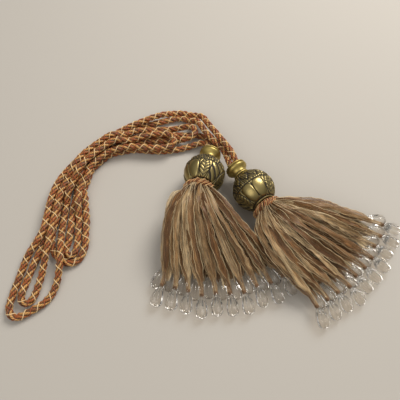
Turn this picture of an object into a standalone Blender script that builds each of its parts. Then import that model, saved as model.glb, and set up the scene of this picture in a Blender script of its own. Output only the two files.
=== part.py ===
"""Double-tassel curtain tieback, laid down flat with its doubled cord folded to the left.

Two tassels hang on two twisted cords. Each tassel has a turned collar, a cast ball, a ruche of
looped cord and a skirt of ribbons that end in clear teardrop beads. Units are metres, +Z is up.
The origin is the middle of the flat spot on which the left ball rests.
"""
import math

import bpy
import bmesh
from mathutils import Matrix, Vector
from mathutils.geometry import interpolate_bezier

MM = 0.001

# driving dimensions, in millimetres
CORD_D = 8.0
CORD_LIFT = 0.1              # the least height of a cord's underside
BALL_R = 25.0
BALL_REST = 24.6             # height of a ball's centre, which leaves a small flat spot under it
BALL_SWELLS = 8
SWELL_DEPTH = 0.022          # share of the radius lost between two swells
SWELL_BELT = 1.6             # how soon the swells fade towards the ball's ends
FLANGE_R = 13.5
LIP_R = 9.9
RECESS_R = 8.9
LIP_AT = 42.0                # from the ball's centre to the collar's lip
RECESS = 3.0
GAP = 0.3
TIP_GAP = 0.4                # between a ribbon's tip and its bead's eye
RUCHE_RING_R = 12.4
RUCHE_TUBE_R = 4.9
RUCHE_LOOPS = 16
RUCHE_BUMP = 0.55
RUCHE_LEAN = 1.2             # how far each loop leans round its tube
RUCHE_AT = 28.4
PLUG_R = 5.8
DISC_R = 15.0
DISC_AT = 34.6
DISC_THICK = 3.2
BEAD_R = 6.6
BEAD_LENGTH = 22.0
BEAD_PROFILE = ((0.0, 0.0), (1.9, 0.4), (2.4, 4.0), (4.8, 9.6), (6.6, 15.4), (4.7, 20.2),
                (0.0, 22.0))    # radius, distance from the eye
BEADS_IN_ROW = 10
BEAD_ROWS = ((18.0, 1.2), (0.0, 6.6))      # setback of each row, and its eyes' rise
BEAD_UNEVEN = 1.8                          # beads hang a little shorter or longer
RIBBON_THICK = 1.1
RIBBON_WIDTHS = (1.8, 3.0, 4.6, 5.8, 6.6, 6.6, 5.2, 2.0)    # from root to tip
TIER_ROOTS = (-0.66, -0.22, 0.22, 0.66)    # heights of the ribbons' roots, in disc radii
ROOT_EDGE = 0.9                            # disc left free outside the outermost root
ROOT_SINK = 1.0                            # how far in front of the disc's middle a root starts
ROOT_PAIR = 0.25                           # a bead's two roots stand apart by this share
TIP_PAIR = 3.0                             # and its two tips by this much
TIER_LIFT = 0.15                           # how far the upper roots lean up
TIER_HEIGHTS = (-26.0, -22.8, 16.6, 19.8)  # heights of the curve's handles near the beads
TIER_FLOORS = (0.6, 2.3, 3.9, 5.5)         # and the least height of each tier's middle lines
RIBBON_EASE = (0.38, 0.28)                 # length of the curve's handles, at root and tip

# a tassel: where its ball rests, the way its skirt points and the spread of its beads.
# An angle is in degrees from -Y towards +X, and rise is the skirt end's tilt upwards.
# Reach and flare are given for both edges of the fan, and shifts for both rows of beads.
TASSELS = {
    "left": dict(ball=(0.0, 0.0), heading=-12.5, rise=16.0, first=-22.5, last=35.0,
                 reach=(150.0, 160.0), flare=(2.6, 2.1), shifts=(0.0, 0.5)),
    "right": dict(ball=(56.9, -21.5), heading=31.0, rise=5.0, first=24.5, last=78.0,
                  reach=(157.0, 165.0), flare=(1.8, 3.2), shifts=(0.5, 0.0)),
}

# sections of the gathered cords: the bundle's outer edge, then for each run its distance in from
# that edge and its height. cord_over runs through a_over, c, d and e, cord_under through a_under,
# b, x and f.
BUNDLE_COLUMNS = ("edge", "a_under", "a_over", "x", "b", "e", "c", "f", "d")
BUNDLE = (
    ((-108, 75), (4.2, 4.2), (4.2, 12.8), (24.4, 4.2), (13.4, 14.8), (13.0, 4.2), (23.0, 13.0),
     (33.6, 4.2), (33.8, 12.8)),
    ((-120, 66.5), (4.2, 4.2), (4.2, 12.8), (17.0, 4.2), (8.8, 21.8), (13.4, 13.0), (18.0, 21.4),
     (27.0, 4.2), (26.8, 12.9)),
    ((-133, 57), (4.2, 4.2), (4.2, 12.8), (12.8, 4.2), (8.2, 20.6), (12.8, 12.8), (17.0, 20.6),
     (21.8, 4.2), (21.8, 12.8)),
    ((-146, 45), (4.2, 4.2), (4.2, 12.8), (12.8, 4.2), (8.2, 20.6), (12.8, 12.8), (17.0, 20.6),
     (22.0, 4.2), (22.0, 12.8)),
    ((-157, 32.5), (4.2, 4.2), (4.2, 12.8), (12.8, 4.2), (8.4, 20.6), (12.9, 12.8), (17.2, 21.0),
     (22.4, 4.2), (22.6, 12.8)),
    ((-167, 19), (4.2, 4.2), (4.2, 12.8), (12.8, 4.2), (11.0, 20.0), (20.6, 12.2), (19.4, 21.8),
     (29.2, 4.2), (29.8, 12.8)),
    ((-176, 4.5), (4.2, 4.2), (4.2, 12.8), (12.8, 4.2), (12.8, 13.0), (24.8, 4.2), (21.3, 14.4),
     (33.8, 4.2), (32.4, 12.8)),
    ((-182, -11), (4.2, 4.2), (4.2, 12.8), (12.8, 4.2), (12.9, 13.0), (29.4, 4.2), (21.5, 12.6),
     (40.4, 4.2), (34.6, 12.9)),
    ((-185, -29), (4.2, 4.2), (4.2, 12.8), (12.8, 4.2), (13.0, 13.0), (30.2, 4.2), (21.4, 4.2),
     (44.2, 4.2), (37.2, 12.6)),
    ((-186, -48), (4.2, 4.2), (4.2, 12.8), (12.8, 4.2), (13.0, 13.0), (31.0, 4.2), (21.4, 4.2),
     (48.6, 4.2), (39.7, 4.2)),
    ((-187.5, -66), (4.2, 4.2), (4.2, 12.8), (12.8, 4.2), (13.0, 13.0), (32.8, 4.2), (23.2, 4.2),
     (51.0, 4.2), (42.0, 4.2)),
)

# the stretches of each cord outside the gathered bundle, as points in millimetres
RIGHT_NECK_TO_BUNDLE_OVER = (
    (38.7, 18.7, 21.2), (35.8, 29.4, 24.2), (27.4, 42.0, 25.4), (20.0, 53.5, 23.2),
    (12.8, 65.0, 21.2), (7.0, 75.0, 19.0), (2.8, 83.5, 16.5), (-0.4, 90.6, 14.0),
    (-4.6, 95.4, 12.0), (-9.5, 97.6, 10.0), (-15.0, 99.8, 7.8), (-22.0, 103.2, 5.4),
    (-31.0, 105.8, 4.4), (-41.0, 104.4, 5.4), (-53.0, 99.8, 9.6), (-66.0, 93.2, 12.4),
    (-79.0, 86.8, 12.8), (-92.0, 80.0, 12.8),
)
RIGHT_NECK_TO_BUNDLE_UNDER = (
    (31.3, 14.3, 21.2), (28.9, 24.0, 18.8), (25.4, 33.0, 18.2), (21.0, 40.6, 18.6),
    (15.2, 48.6, 18.8), (7.6, 57.8, 18.6), (0.6, 67.8, 17.8), (-4.2, 77.2, 17.2),
    (-9.0, 84.8, 14.2), (-14.8, 89.6, 9.4), (-21.5, 93.6, 5.8), (-30.0, 97.0, 4.4),
    (-41.0, 95.6, 4.2), (-53.0, 92.4, 4.2), (-66.0, 88.8, 4.2), (-79.0, 85.0, 4.2),
    (-92.0, 79.4, 4.2),
)
LOWER_OUTER_BIGHT = (
    (-189.4, -82.0, 11.6), (-197.0, -94.6, 7.4), (-201.0, -107.0, 4.6), (-203.2, -119.0, 4.2),
    (-205.6, -131.0, 4.2), (-207.4, -143.0, 4.2), (-208.0, -152.0, 4.2), (-205.0, -160.0, 4.2),
    (-198.5, -162.6, 4.2), (-191.5, -160.2, 4.2), (-185.2, -156.4, 4.2), (-178.2, -152.2, 4.2),
    (-171.0, -146.6, 4.2), (-165.2, -138.6, 4.2), (-161.4, -127.0, 4.8), (-159.6, -114.0, 9.0),
    (-159.0, -102.0, 12.8), (-159.8, -92.0, 12.9), (-162.2, -79.0, 10.2),
)
LOWER_INNER_BIGHT = (
    (-184.2, -79.0, 4.2), (-186.8, -92.0, 4.2), (-190.2, -104.0, 4.2), (-193.0, -116.0, 4.2),
    (-195.2, -127.0, 4.2), (-197.2, -136.6, 4.2), (-197.4, -142.0, 4.2), (-194.8, -146.6, 4.2),
    (-190.2, -147.9, 4.2), (-185.8, -145.0, 4.2), (-183.0, -138.4, 4.2), (-181.0, -129.0, 4.4), (-178.6, -117.0, 6.2),
    (-176.8, -105.0, 10.2), (-175.6, -93.0, 12.8), (-174.8, -80.0, 13.0),
)
UPPER_TOP_BIGHT = (
    (-80.0, 61.4, 13.2), (-68.0, 65.2, 12.9), (-57.0, 66.8, 12.8), (-47.5, 66.4, 13.0),
    (-41.0, 63.0, 13.2), (-37.8, 57.0, 13.2), (-39.4, 50.6, 13.2), (-45.0, 46.6, 13.0),
    (-54.0, 45.4, 12.8), (-66.0, 45.4, 12.8), (-77.0, 46.4, 12.8),
)
UPPER_FAR_BIGHT = (
    (-90.0, 71.2, 12.0), (-79.0, 76.4, 6.8), (-68.0, 78.4, 4.4), (-55.0, 79.0, 4.2),
    (-42.0, 79.4, 4.6), (-31.0, 79.6, 7.2), (-21.0, 79.0, 11.0), (-14.0, 76.2, 13.0),
    (-11.0, 70.0, 13.2), (-14.0, 64.0, 13.0), (-21.0, 61.0, 11.0), (-31.0, 60.6, 6.8),
    (-42.0, 61.0, 4.2), (-54.0, 61.4, 4.2), (-67.0, 61.0, 4.2), (-80.0, 59.2, 4.2),
)
SECOND_INNER_BIGHT = (
    (-144.7, -76.0, 4.2), (-144.9, -83.0, 4.2), (-145.6, -88.5, 4.2), (-147.7, -92.6, 4.2),
    (-151.4, -94.3, 4.2), (-155.2, -92.6, 4.2), (-157.0, -88.3, 4.2), (-156.4, -83.0, 4.2),
    (-154.9, -76.0, 4.2),
)
SECOND_OUTER_BIGHT = (
    (-174.0, -78.0, 4.2), (-171.4, -87.6, 4.2), (-166.0, -95.0, 4.2), (-159.5, -100.0, 4.2),
    (-152.0, -103.0, 4.2), (-144.6, -101.6, 4.2), (-139.0, -95.8, 4.2), (-136.2, -86.8, 4.2),
    (-135.4, -77.0, 4.2),
)
BUNDLE_TO_LEFT_NECK_RIGHT = (
    (-88.0, 66.4, 4.2), (-76.0, 68.8, 4.2), (-63.0, 70.2, 4.2), (-49.0, 70.4, 4.2),
    (-35.0, 70.2, 4.2), (-21.0, 70.0, 4.2), (-8.0, 69.6, 4.2), (2.6, 66.4, 4.4),
    (9.6, 60.0, 5.4), (13.2, 52.6, 7.8), (14.2, 46.0, 10.8), (13.3, 40.4, 12.9),
)
BUNDLE_TO_LEFT_NECK_LEFT = (
    (-75.0, 46.6, 4.2), (-60.0, 45.6, 4.2), (-46.0, 46.2, 4.2), (-33.0, 48.2, 4.2),
    (-22.0, 51.0, 4.8), (-12.0, 53.8, 6.4), (-3.6, 54.8, 8.8), (2.8, 52.4, 11.2),
    (5.8, 47.6, 12.6), (5.1, 42.2, 12.9),
)
CORD_STEPS_STRAIGHT = 21.0   # spacing of the tube's rings on a straight stretch
CORD_STEPS_BENT = 5.5        # and round the tightest bight

COLOURS = {
    "cord": (0.22, 0.075, 0.025, 1.0),
    "brass": (0.50, 0.35, 0.10, 1.0),
    "antique": (0.28, 0.20, 0.07, 1.0),
    "ribbon": (0.30, 0.18, 0.09, 1.0),
    "bead": (0.80, 0.76, 0.70, 1.0),
}


def clear_scene():
    for obj in list(bpy.data.objects):
        bpy.data.objects.remove(obj, do_unlink=True)


def material(name, colour, roughness, metallic=0.0, transmission=0.0):
    mat = bpy.data.materials.new(name)
    mat.use_nodes = True
    shader = mat.node_tree.nodes["Principled BSDF"]
    shader.inputs["Base Color"].default_value = colour
    shader.inputs["Roughness"].default_value = roughness
    shader.inputs["Metallic"].default_value = metallic
    shader.inputs["Transmission Weight"].default_value = transmission
    return mat


def add_mesh(name, bm, mat, parent=None, smooth=True):
    mesh = bpy.data.meshes.new(name)
    bm.to_mesh(mesh)
    bm.free()
    obj = bpy.data.objects.new(name, mesh)
    PARTS.objects.link(obj)
    obj.data.materials.append(mat)
    obj.parent = parent
    if smooth:
        mesh.shade_smooth()
    return obj


def turned(name, profile, steps, mat, parent):
    """A solid of revolution round the parent's Z axis; the profile runs from the top down."""
    bm = bmesh.new()
    points = [bm.verts.new((r * MM, 0.0, z * MM)) for r, z in profile]
    for upper, lower in zip(points, points[1:]):
        bm.edges.new((upper, lower))
    obj = add_mesh(name, bm, mat, parent, smooth=False)
    screw = obj.modifiers.new("turn", "SCREW")
    screw.steps = steps
    screw.render_steps = steps
    screw.use_merge_vertices = True
    screw.merge_threshold = 0.00001
    screw.use_smooth_shade = True
    return obj


# the cords
def catmull_point(p0, p1, p2, p3, t):
    """One point of a centripetal curve through p1 and p2."""
    k1 = max((p1 - p0).length, 1e-6) ** 0.5
    k2 = k1 + max((p2 - p1).length, 1e-6) ** 0.5
    k3 = k2 + max((p3 - p2).length, 1e-6) ** 0.5
    at = k1 + (k2 - k1) * t
    a1 = p0.lerp(p1, at / k1)
    a2 = p1.lerp(p2, (at - k1) / (k2 - k1))
    a3 = p2.lerp(p3, (at - k2) / (k3 - k2))
    b1 = a1.lerp(a2, at / k2)
    b2 = a2.lerp(a3, (at - k1) / (k3 - k1))
    return b1.lerp(b2, (at - k1) / (k2 - k1))


def smooth_route(points, steps=12):
    """Close points on the smooth curve through the route's own points."""
    line = [Vector(p) for p in points]
    ends = [line[0] * 2 - line[1]] + line + [line[-1] * 2 - line[-2]]
    fine = []
    for i in range(len(line) - 1):
        for k in range(steps):
            fine.append(catmull_point(*ends[i:i + 4], k / steps))
    fine.append(line[-1])
    for place in fine:
        place.z = max(place.z, CORD_D / 2 + CORD_LIFT)
    return fine


def ring_points(fine):
    """Ring centres: far apart where the cord is straight and close together in its bights."""
    kept = [fine[0]]
    since = 0.0
    turned_by = 0.0
    for before, here, after in zip(fine, fine[1:], fine[2:]):
        since += (here - before).length
        turned_by += (here - before).angle(after - here, 0.0)
        bend = min(1.0, turned_by / math.radians(30.0))
        allowed = CORD_STEPS_STRAIGHT + (CORD_STEPS_BENT - CORD_STEPS_STRAIGHT) * bend
        if since >= allowed:
            kept.append(here)
            since = 0.0
            turned_by = 0.0
    if since < CORD_STEPS_BENT:
        kept.pop()
    kept.append(fine[-1])
    return kept


def bundle_runs():
    """Each run's points through the gathered bundle, from its upper end to its lower one."""
    edges = [Vector(row[0]) for row in BUNDLE]
    runs = {name: [] for name in BUNDLE_COLUMNS[1:]}
    for i, row in enumerate(BUNDLE):
        along = edges[min(i + 1, len(edges) - 1)] - edges[max(i - 1, 0)]
        inward = Vector((-along.y, along.x)).normalized()
        for name, (across, height) in zip(BUNDLE_COLUMNS[1:], row[1:]):
            place = edges[i] + inward * across
            runs[name].append((place.x, place.y, height))
    return runs


def cord_routes():
    runs = bundle_runs()
    up = {name: tuple(reversed(points)) for name, points in runs.items()}
    over = [*RIGHT_NECK_TO_BUNDLE_OVER, *runs["a_over"], *LOWER_OUTER_BIGHT, *up["c"],
            *UPPER_TOP_BIGHT, *runs["d"], *SECOND_INNER_BIGHT, *up["e"],
            *BUNDLE_TO_LEFT_NECK_RIGHT]
    under = [*RIGHT_NECK_TO_BUNDLE_UNDER, *runs["a_under"], *LOWER_INNER_BIGHT, *up["b"],
             *UPPER_FAR_BIGHT, *runs["x"], *SECOND_OUTER_BIGHT, *up["f"],
             *BUNDLE_TO_LEFT_NECK_LEFT]
    return {"cord_over": over, "cord_under": under}


def make_cord(name, route, mat):
    curve = bpy.data.curves.new(name, "CURVE")
    curve.dimensions = "3D"
    curve.bevel_depth = CORD_D / 2 * MM
    curve.bevel_resolution = 2
    curve.use_fill_caps = True
    points = ring_points(smooth_route(route))
    spline = curve.splines.new("POLY")
    spline.points.add(len(points) - 1)
    for target, place in zip(spline.points, points):
        target.co = (*(place * MM), 1.0)
    obj = bpy.data.objects.new(name, curve)
    PARTS.objects.link(obj)
    obj.data.materials.append(mat)
    return obj


# a tassel's head
def head_frame(side, row):
    """An empty at the ball's centre, its +Z pointing up the neck."""
    heading = math.radians(row["heading"])
    rise = math.radians(row["rise"])
    skirt_way = Vector((math.sin(heading) * math.cos(rise), -math.cos(heading) * math.cos(rise),
                        math.sin(rise)))
    empty = bpy.data.objects.new("head_" + side, None)
    PARTS.objects.link(empty)
    empty.location = Vector((*row["ball"], BALL_REST)) * MM
    empty.rotation_euler = (-skirt_way).to_track_quat("Z", "Y").to_euler()
    return empty


def on_ball(radius):
    """Height of the ball's surface, with the gap, at a distance from the head's axis."""
    return math.sqrt((BALL_R + GAP) ** 2 - radius ** 2)


def make_collar(side, head):
    lip = LIP_AT
    profile = [
        (0.0, lip - RECESS), (RECESS_R, lip - RECESS), (RECESS_R, lip), (LIP_R, lip),
        (LIP_R, lip - 1.4), (8.9, lip - 2.1), (10.4, lip - 3.0), (12.7, lip - 4.6),
        (FLANGE_R, lip - 6.8), (13.1, lip - 8.8), (10.9, lip - 10.6), (9.4, lip - 12.4),
        (9.4, lip - 13.8), (10.3, lip - 14.6), (10.3, on_ball(10.3) + 0.5), (9.6, on_ball(9.6)),
        (5.0, on_ball(5.0)), (0.0, BALL_R + GAP),
    ]
    return turned("collar_" + side, profile, 20, BRASS, head)


def make_ball(side, head):
    """A cast ball with low swells between its leaf panels, cut flat where it rests."""
    bm = bmesh.new()
    bmesh.ops.create_uvsphere(bm, u_segments=32, v_segments=14, radius=BALL_R * MM)
    for vert in bm.verts:
        around = math.atan2(vert.co.y, vert.co.x)
        level = vert.co.z / (BALL_R * MM)
        belt = max(0.0, 1.0 - level * level * SWELL_BELT)
        vert.co *= 1.0 - SWELL_DEPTH * belt * (1.0 - math.cos(BALL_SWELLS * around)) / 2
    bmesh.ops.transform(bm, matrix=head_matrix(head), verts=bm.verts)
    cut = bmesh.ops.bisect_plane(bm, geom=bm.verts[:] + bm.edges[:] + bm.faces[:],
                                 plane_co=(0, 0, 0), plane_no=(0, 0, -1), clear_outer=True)
    rim = [item for item in cut["geom_cut"] if isinstance(item, bmesh.types.BMEdge)]
    bmesh.ops.holes_fill(bm, edges=rim, sides=0)
    bmesh.ops.recalc_face_normals(bm, faces=bm.faces)
    return add_mesh("ball_" + side, bm, ANTIQUE)


def head_matrix(head):
    return Matrix.Translation(head.location) @ head.rotation_euler.to_matrix().to_4x4()


def make_ruche(side, head):
    """A ring of looped cord under the ball, its loops raised round the ring."""
    bm = bmesh.new()
    ring_steps, tube_steps = RUCHE_LOOPS * 3, 7
    section = [bm.verts.new(((RUCHE_RING_R + RUCHE_TUBE_R * math.cos(a)) * MM, 0.0,
                             RUCHE_TUBE_R * math.sin(a) * MM))
               for a in (2 * math.pi * k / tube_steps for k in range(tube_steps))]
    loop = [bm.edges.new((section[k - 1], section[k])) for k in range(tube_steps)]
    bmesh.ops.spin(bm, geom=section + loop, cent=(0, 0, 0), axis=(0, 0, 1),
                   angle=2 * math.pi, steps=ring_steps, use_merge=True)
    for vert in bm.verts:
        around = math.atan2(vert.co.y, vert.co.x)
        centre = Vector((math.cos(around), math.sin(around), 0.0)) * RUCHE_RING_R * MM
        out = vert.co - centre
        lean = RUCHE_LEAN * out.z / (RUCHE_TUBE_R * MM)
        bump = RUCHE_BUMP * math.cos(RUCHE_LOOPS * around + lean)
        vert.co = centre + out * (1.0 + bump / RUCHE_TUBE_R)
        vert.co.z -= RUCHE_AT * MM
    bmesh.ops.recalc_face_normals(bm, faces=bm.faces)
    return add_mesh("ruche_" + side, bm, CORD_MAT, head)


# beads and ribbons
def bead_places(row):
    """Each bead's place: its fat end's centre on the floor, the way it points and its tilt."""
    places = []
    span = row["last"] - row["first"]
    near_reach, far_reach = row["reach"]
    for shelf, (setback, eye_rise) in enumerate(BEAD_ROWS):
        for k in range(BEADS_IN_ROW):
            part = (k + row["shifts"][shelf]) / (BEADS_IN_ROW - 0.5)
            angle = math.radians(row["first"] + span * part)
            reach = near_reach + (far_reach - near_reach) * part - setback
            reach += BEAD_UNEVEN * math.sin(2.3 * k + 1.1)
            way = Vector((math.sin(angle), -math.cos(angle), 0.0))
            tilt = math.asin(eye_rise / (BEAD_LENGTH - BEAD_R))
            lowest = max(r * math.cos(tilt) + (down - BEAD_LENGTH + BEAD_R) * math.sin(tilt)
                         for r, down in BEAD_PROFILE)
            fat = Vector((*row["ball"], 0.0)) + way * reach
            fat.z = lowest
            places.append((shelf, k, fat, way, eye_rise))
    return places


def bead_mesh():
    """A faceted teardrop, its eye at the origin and its fat end along -Z."""
    bm = bmesh.new()
    points = [bm.verts.new((r * MM, 0.0, -down * MM)) for r, down in BEAD_PROFILE]
    edges = [bm.edges.new(pair) for pair in zip(points, points[1:])]
    bmesh.ops.spin(bm, geom=points + edges, cent=(0, 0, 0), axis=(0, 0, 1),
                   angle=2 * math.pi, steps=8, use_merge=True)
    bmesh.ops.remove_doubles(bm, verts=bm.verts, dist=0.00001)
    bmesh.ops.recalc_face_normals(bm, faces=bm.faces)
    mesh = bpy.data.meshes.new("bead")
    bm.to_mesh(mesh)
    bm.free()
    mesh.shade_smooth()
    mesh.materials.append(BEAD_MAT)
    return mesh


def bead_axis(way, eye_rise):
    """From the fat end's centre towards the eye."""
    reach = BEAD_LENGTH - BEAD_R
    flat = math.sqrt(reach * reach - eye_rise * eye_rise)
    return (-way * flat + Vector((0, 0, eye_rise))).normalized()


def make_beads(side, row, mesh):
    for shelf, k, fat, way, eye_rise in bead_places(row):
        axis = bead_axis(way, eye_rise)
        eye = fat + axis * (BEAD_LENGTH - BEAD_R)
        name = "bead_{}_{}_{:02d}".format(side, ("near", "far")[shelf], k)
        obj = bpy.data.objects.new(name, mesh)
        PARTS.objects.link(obj)
        obj.location = eye * MM
        obj.rotation_euler = axis.to_track_quat("Z", "X").to_euler()


def ribbon_line(root, out, tip, arrive, tier):
    """A ribbon's middle line: out of the head, down to lie level, then into its bead's eye."""
    lead = (tip - root).length
    first = root + out * lead * RIBBON_EASE[0]
    last = tip + arrive * lead * RIBBON_EASE[1]
    last.z = TIER_HEIGHTS[tier]
    line = interpolate_bezier(root, first, last, tip, len(RIBBON_WIDTHS))
    for place in line[1:-1]:
        place.z = max(place.z, TIER_FLOORS[tier])
    return line


def ribbon_ring(line, i, pleat_way):
    """The four corners of a ribbon's section: a standing pleat at the root, flat further on."""
    along = (line[min(i + 1, len(line) - 1)] - line[max(i - 1, 0)]).normalized()
    flat_way = Vector((along.y, -along.x, 0.0)).normalized()
    if flat_way.dot(pleat_way.cross(along)) < 0:
        flat_way = -flat_way
    side = pleat_way.lerp(flat_way, min(1.0, i / 2.0))
    side = (side - along * side.dot(along)).normalized() * RIBBON_WIDTHS[i] / 2
    rise = along.cross(side).normalized() * RIBBON_THICK / 2
    return [(line[i] + offset) * MM for offset in (side, rise, -side, -rise)]


def add_ribbon(bm, line, pleat_way):
    """Grow a four-sided ribbon along its line, one extrusion for each section."""
    corners = [bm.verts.new(place) for place in ribbon_ring(line, 0, pleat_way)]
    face = bm.faces.new(corners)
    for i in range(1, len(line)):
        grown = bmesh.ops.extrude_face_region(bm, geom=[face])
        if i > 1:
            bmesh.ops.delete(bm, geom=[face], context="FACES_ONLY")
        fresh = [item for item in grown["geom"] if isinstance(item, bmesh.types.BMVert)]
        face = next(item for item in grown["geom"] if isinstance(item, bmesh.types.BMFace))
        corners = [min(fresh, key=lambda vert: (vert.co - old.co).length) for old in corners]
        for vert, place in zip(corners, ribbon_ring(line, i, pleat_way)):
            vert.co = place


def make_skirt(side, row, head):
    """Forty ribbons, two to a bead, rooted in the disc that closes the ruche."""
    matrix = head_matrix(head)
    centre = matrix @ Vector((0, 0, -DISC_AT * MM)) / MM
    out = (matrix.to_3x3() @ Vector((0, 0, -1))).normalized()
    across = Vector((-out.y, out.x, 0.0)).normalized()
    upward = across.cross(-out)
    if upward.z < 0:
        upward = -upward
    bm = bmesh.new()
    for shelf, k, fat, way, eye_rise in bead_places(row):
        arrive = bead_axis(way, eye_rise)
        eye = fat + arrive * (BEAD_LENGTH - BEAD_R + TIP_GAP)
        beside = Vector((-way.y, way.x, 0.0))
        for pair in (0, 1):
            tier = shelf * 2 + pair
            part = (k + 0.5 + ROOT_PAIR * (pair - 0.5)) / BEADS_IN_ROW * 2 - 1
            height = TIER_ROOTS[tier] * DISC_R
            half = math.sqrt((DISC_R - ROOT_EDGE) ** 2 - height ** 2)
            root = centre + across * part * half + upward * height + out * ROOT_SINK
            flare = row["flare"][0 if part < 0 else 1]
            spread = out + across * flare * part + upward * (height / DISC_R) * TIER_LIFT
            tip = eye + beside * (pair - 0.5) * TIP_PAIR
            line = ribbon_line(root, spread.normalized(), tip, arrive, tier)
            add_ribbon(bm, line, upward)
    bmesh.ops.recalc_face_normals(bm, faces=bm.faces)
    strands = add_mesh("ribbons_" + side, bm, RIBBON, smooth=False)
    PARTS.objects.unlink(strands)
    TOOLS.objects.link(strands)
    strands.hide_render = True
    strands.display_type = "WIRE"
    skirt = turned("skirt_" + side, [
        (0.0, -BALL_R - GAP - 0.2), (PLUG_R, -BALL_R - GAP), (PLUG_R, -DISC_AT + 0.2),
        (DISC_R, -DISC_AT), (DISC_R, -DISC_AT - DISC_THICK), (0.0, -DISC_AT - DISC_THICK)],
        20, RIBBON, head)
    union = skirt.modifiers.new("ribbons", "BOOLEAN")
    union.operation = "UNION"
    union.object = strands
    union.use_self = True


clear_scene()
PARTS = bpy.data.collections.new("curtain_tieback")
TOOLS = bpy.data.collections.new("tools")
bpy.context.scene.collection.children.link(PARTS)
bpy.context.scene.collection.children.link(TOOLS)
CORD_MAT = material("twisted cord", COLOURS["cord"], 0.7)
BRASS = material("turned brass", COLOURS["brass"], 0.3, metallic=1.0)
ANTIQUE = material("antique gold", COLOURS["antique"], 0.4, metallic=1.0)
RIBBON = material("sheer ribbon", COLOURS["ribbon"], 0.6)
BEAD_MAT = material("clear acrylic", COLOURS["bead"], 0.08, transmission=0.9)

for cord_name, cord_route in cord_routes().items():
    make_cord(cord_name, cord_route, CORD_MAT)
BEAD = bead_mesh()
for side_name, tassel in TASSELS.items():
    frame_empty = head_frame(side_name, tassel)
    make_collar(side_name, frame_empty)
    make_ball(side_name, frame_empty)
    make_ruche(side_name, frame_empty)
    make_beads(side_name, tassel, BEAD)
    make_skirt(side_name, tassel, frame_empty)
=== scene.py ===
# %% [markdown]
# A curtain tieback with beaded tassels, dressed piece by piece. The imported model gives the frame:
# every piece made here lies where its solid lies. The tieback is laid down flat, with its long
# cord folded to the left, so nothing on it moves and every piece rides on the one body, root.

# %% Load the frame
import math
import random

import bmesh
import bpy
import numpy as np
from mathutils import Matrix, Vector
from mathutils.geometry import interpolate_bezier


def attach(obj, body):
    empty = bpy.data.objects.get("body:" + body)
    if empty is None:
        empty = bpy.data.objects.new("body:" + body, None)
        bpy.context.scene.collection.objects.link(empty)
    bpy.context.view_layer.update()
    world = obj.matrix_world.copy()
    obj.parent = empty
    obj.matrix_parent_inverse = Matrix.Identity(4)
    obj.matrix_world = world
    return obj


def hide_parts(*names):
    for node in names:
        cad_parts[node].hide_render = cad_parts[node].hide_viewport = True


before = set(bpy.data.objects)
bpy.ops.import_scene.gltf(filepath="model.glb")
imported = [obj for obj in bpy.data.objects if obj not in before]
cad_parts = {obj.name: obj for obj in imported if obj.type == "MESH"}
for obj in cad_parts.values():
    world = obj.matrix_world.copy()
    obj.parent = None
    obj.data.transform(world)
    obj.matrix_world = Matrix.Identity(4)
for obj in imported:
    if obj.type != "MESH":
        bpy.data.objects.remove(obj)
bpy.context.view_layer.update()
MM = 0.001
print("CAD nodes:", len(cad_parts))

# %% [markdown]
# The camera looks down at the tieback from the front, as the photograph does, at about 63 degrees
# above the surface. Its lens and distance come from the round balls, whose size is known.


# %% Camera
def add_object(name, data):
    made = bpy.data.objects.new(name, data)
    bpy.context.collection.objects.link(made)
    return made


CAMERA_AT = (-0.00519, -0.25778, 0.46332)
CAMERA_TILT = 27.0
LENS_MM = 38.7
camera_data = bpy.data.cameras.new("camera")
camera_data.lens = LENS_MM
camera_data.sensor_width = 36.0
camera = add_object("camera", camera_data)
camera.location = CAMERA_AT
camera.rotation_euler = (math.radians(CAMERA_TILT), 0.0, 0.0)
bpy.context.scene.camera = camera
print("camera at", CAMERA_AT)

# %% [markdown]
# The cords are soft, so their route is what gravity and a tidy hand made of them: two cords run
# from one tassel's neck to the other's, gathered into a bundle and folded back in long bights.
# The route's points are the solids' own, apart from those at the necks, where the real cords lie
# side by side and run on into their collars. A smooth curve through them avoids the look of bent
# wire.

# %% The gathered bundle, section by section
CORD_D = 8.0
CORD_LIFT = 0.1
# cord_over runs through a_over, c, d and e, and cord_under through a_under, b, x and f; the two
# edge runs keep to the bundle's outer edge all the way
EDGE_RUNS = {"a_under": (4.2, 4.2), "a_over": (4.2, 12.8)}
INNER_RUNS = ("x", "b", "e", "c", "f", "d")
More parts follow.
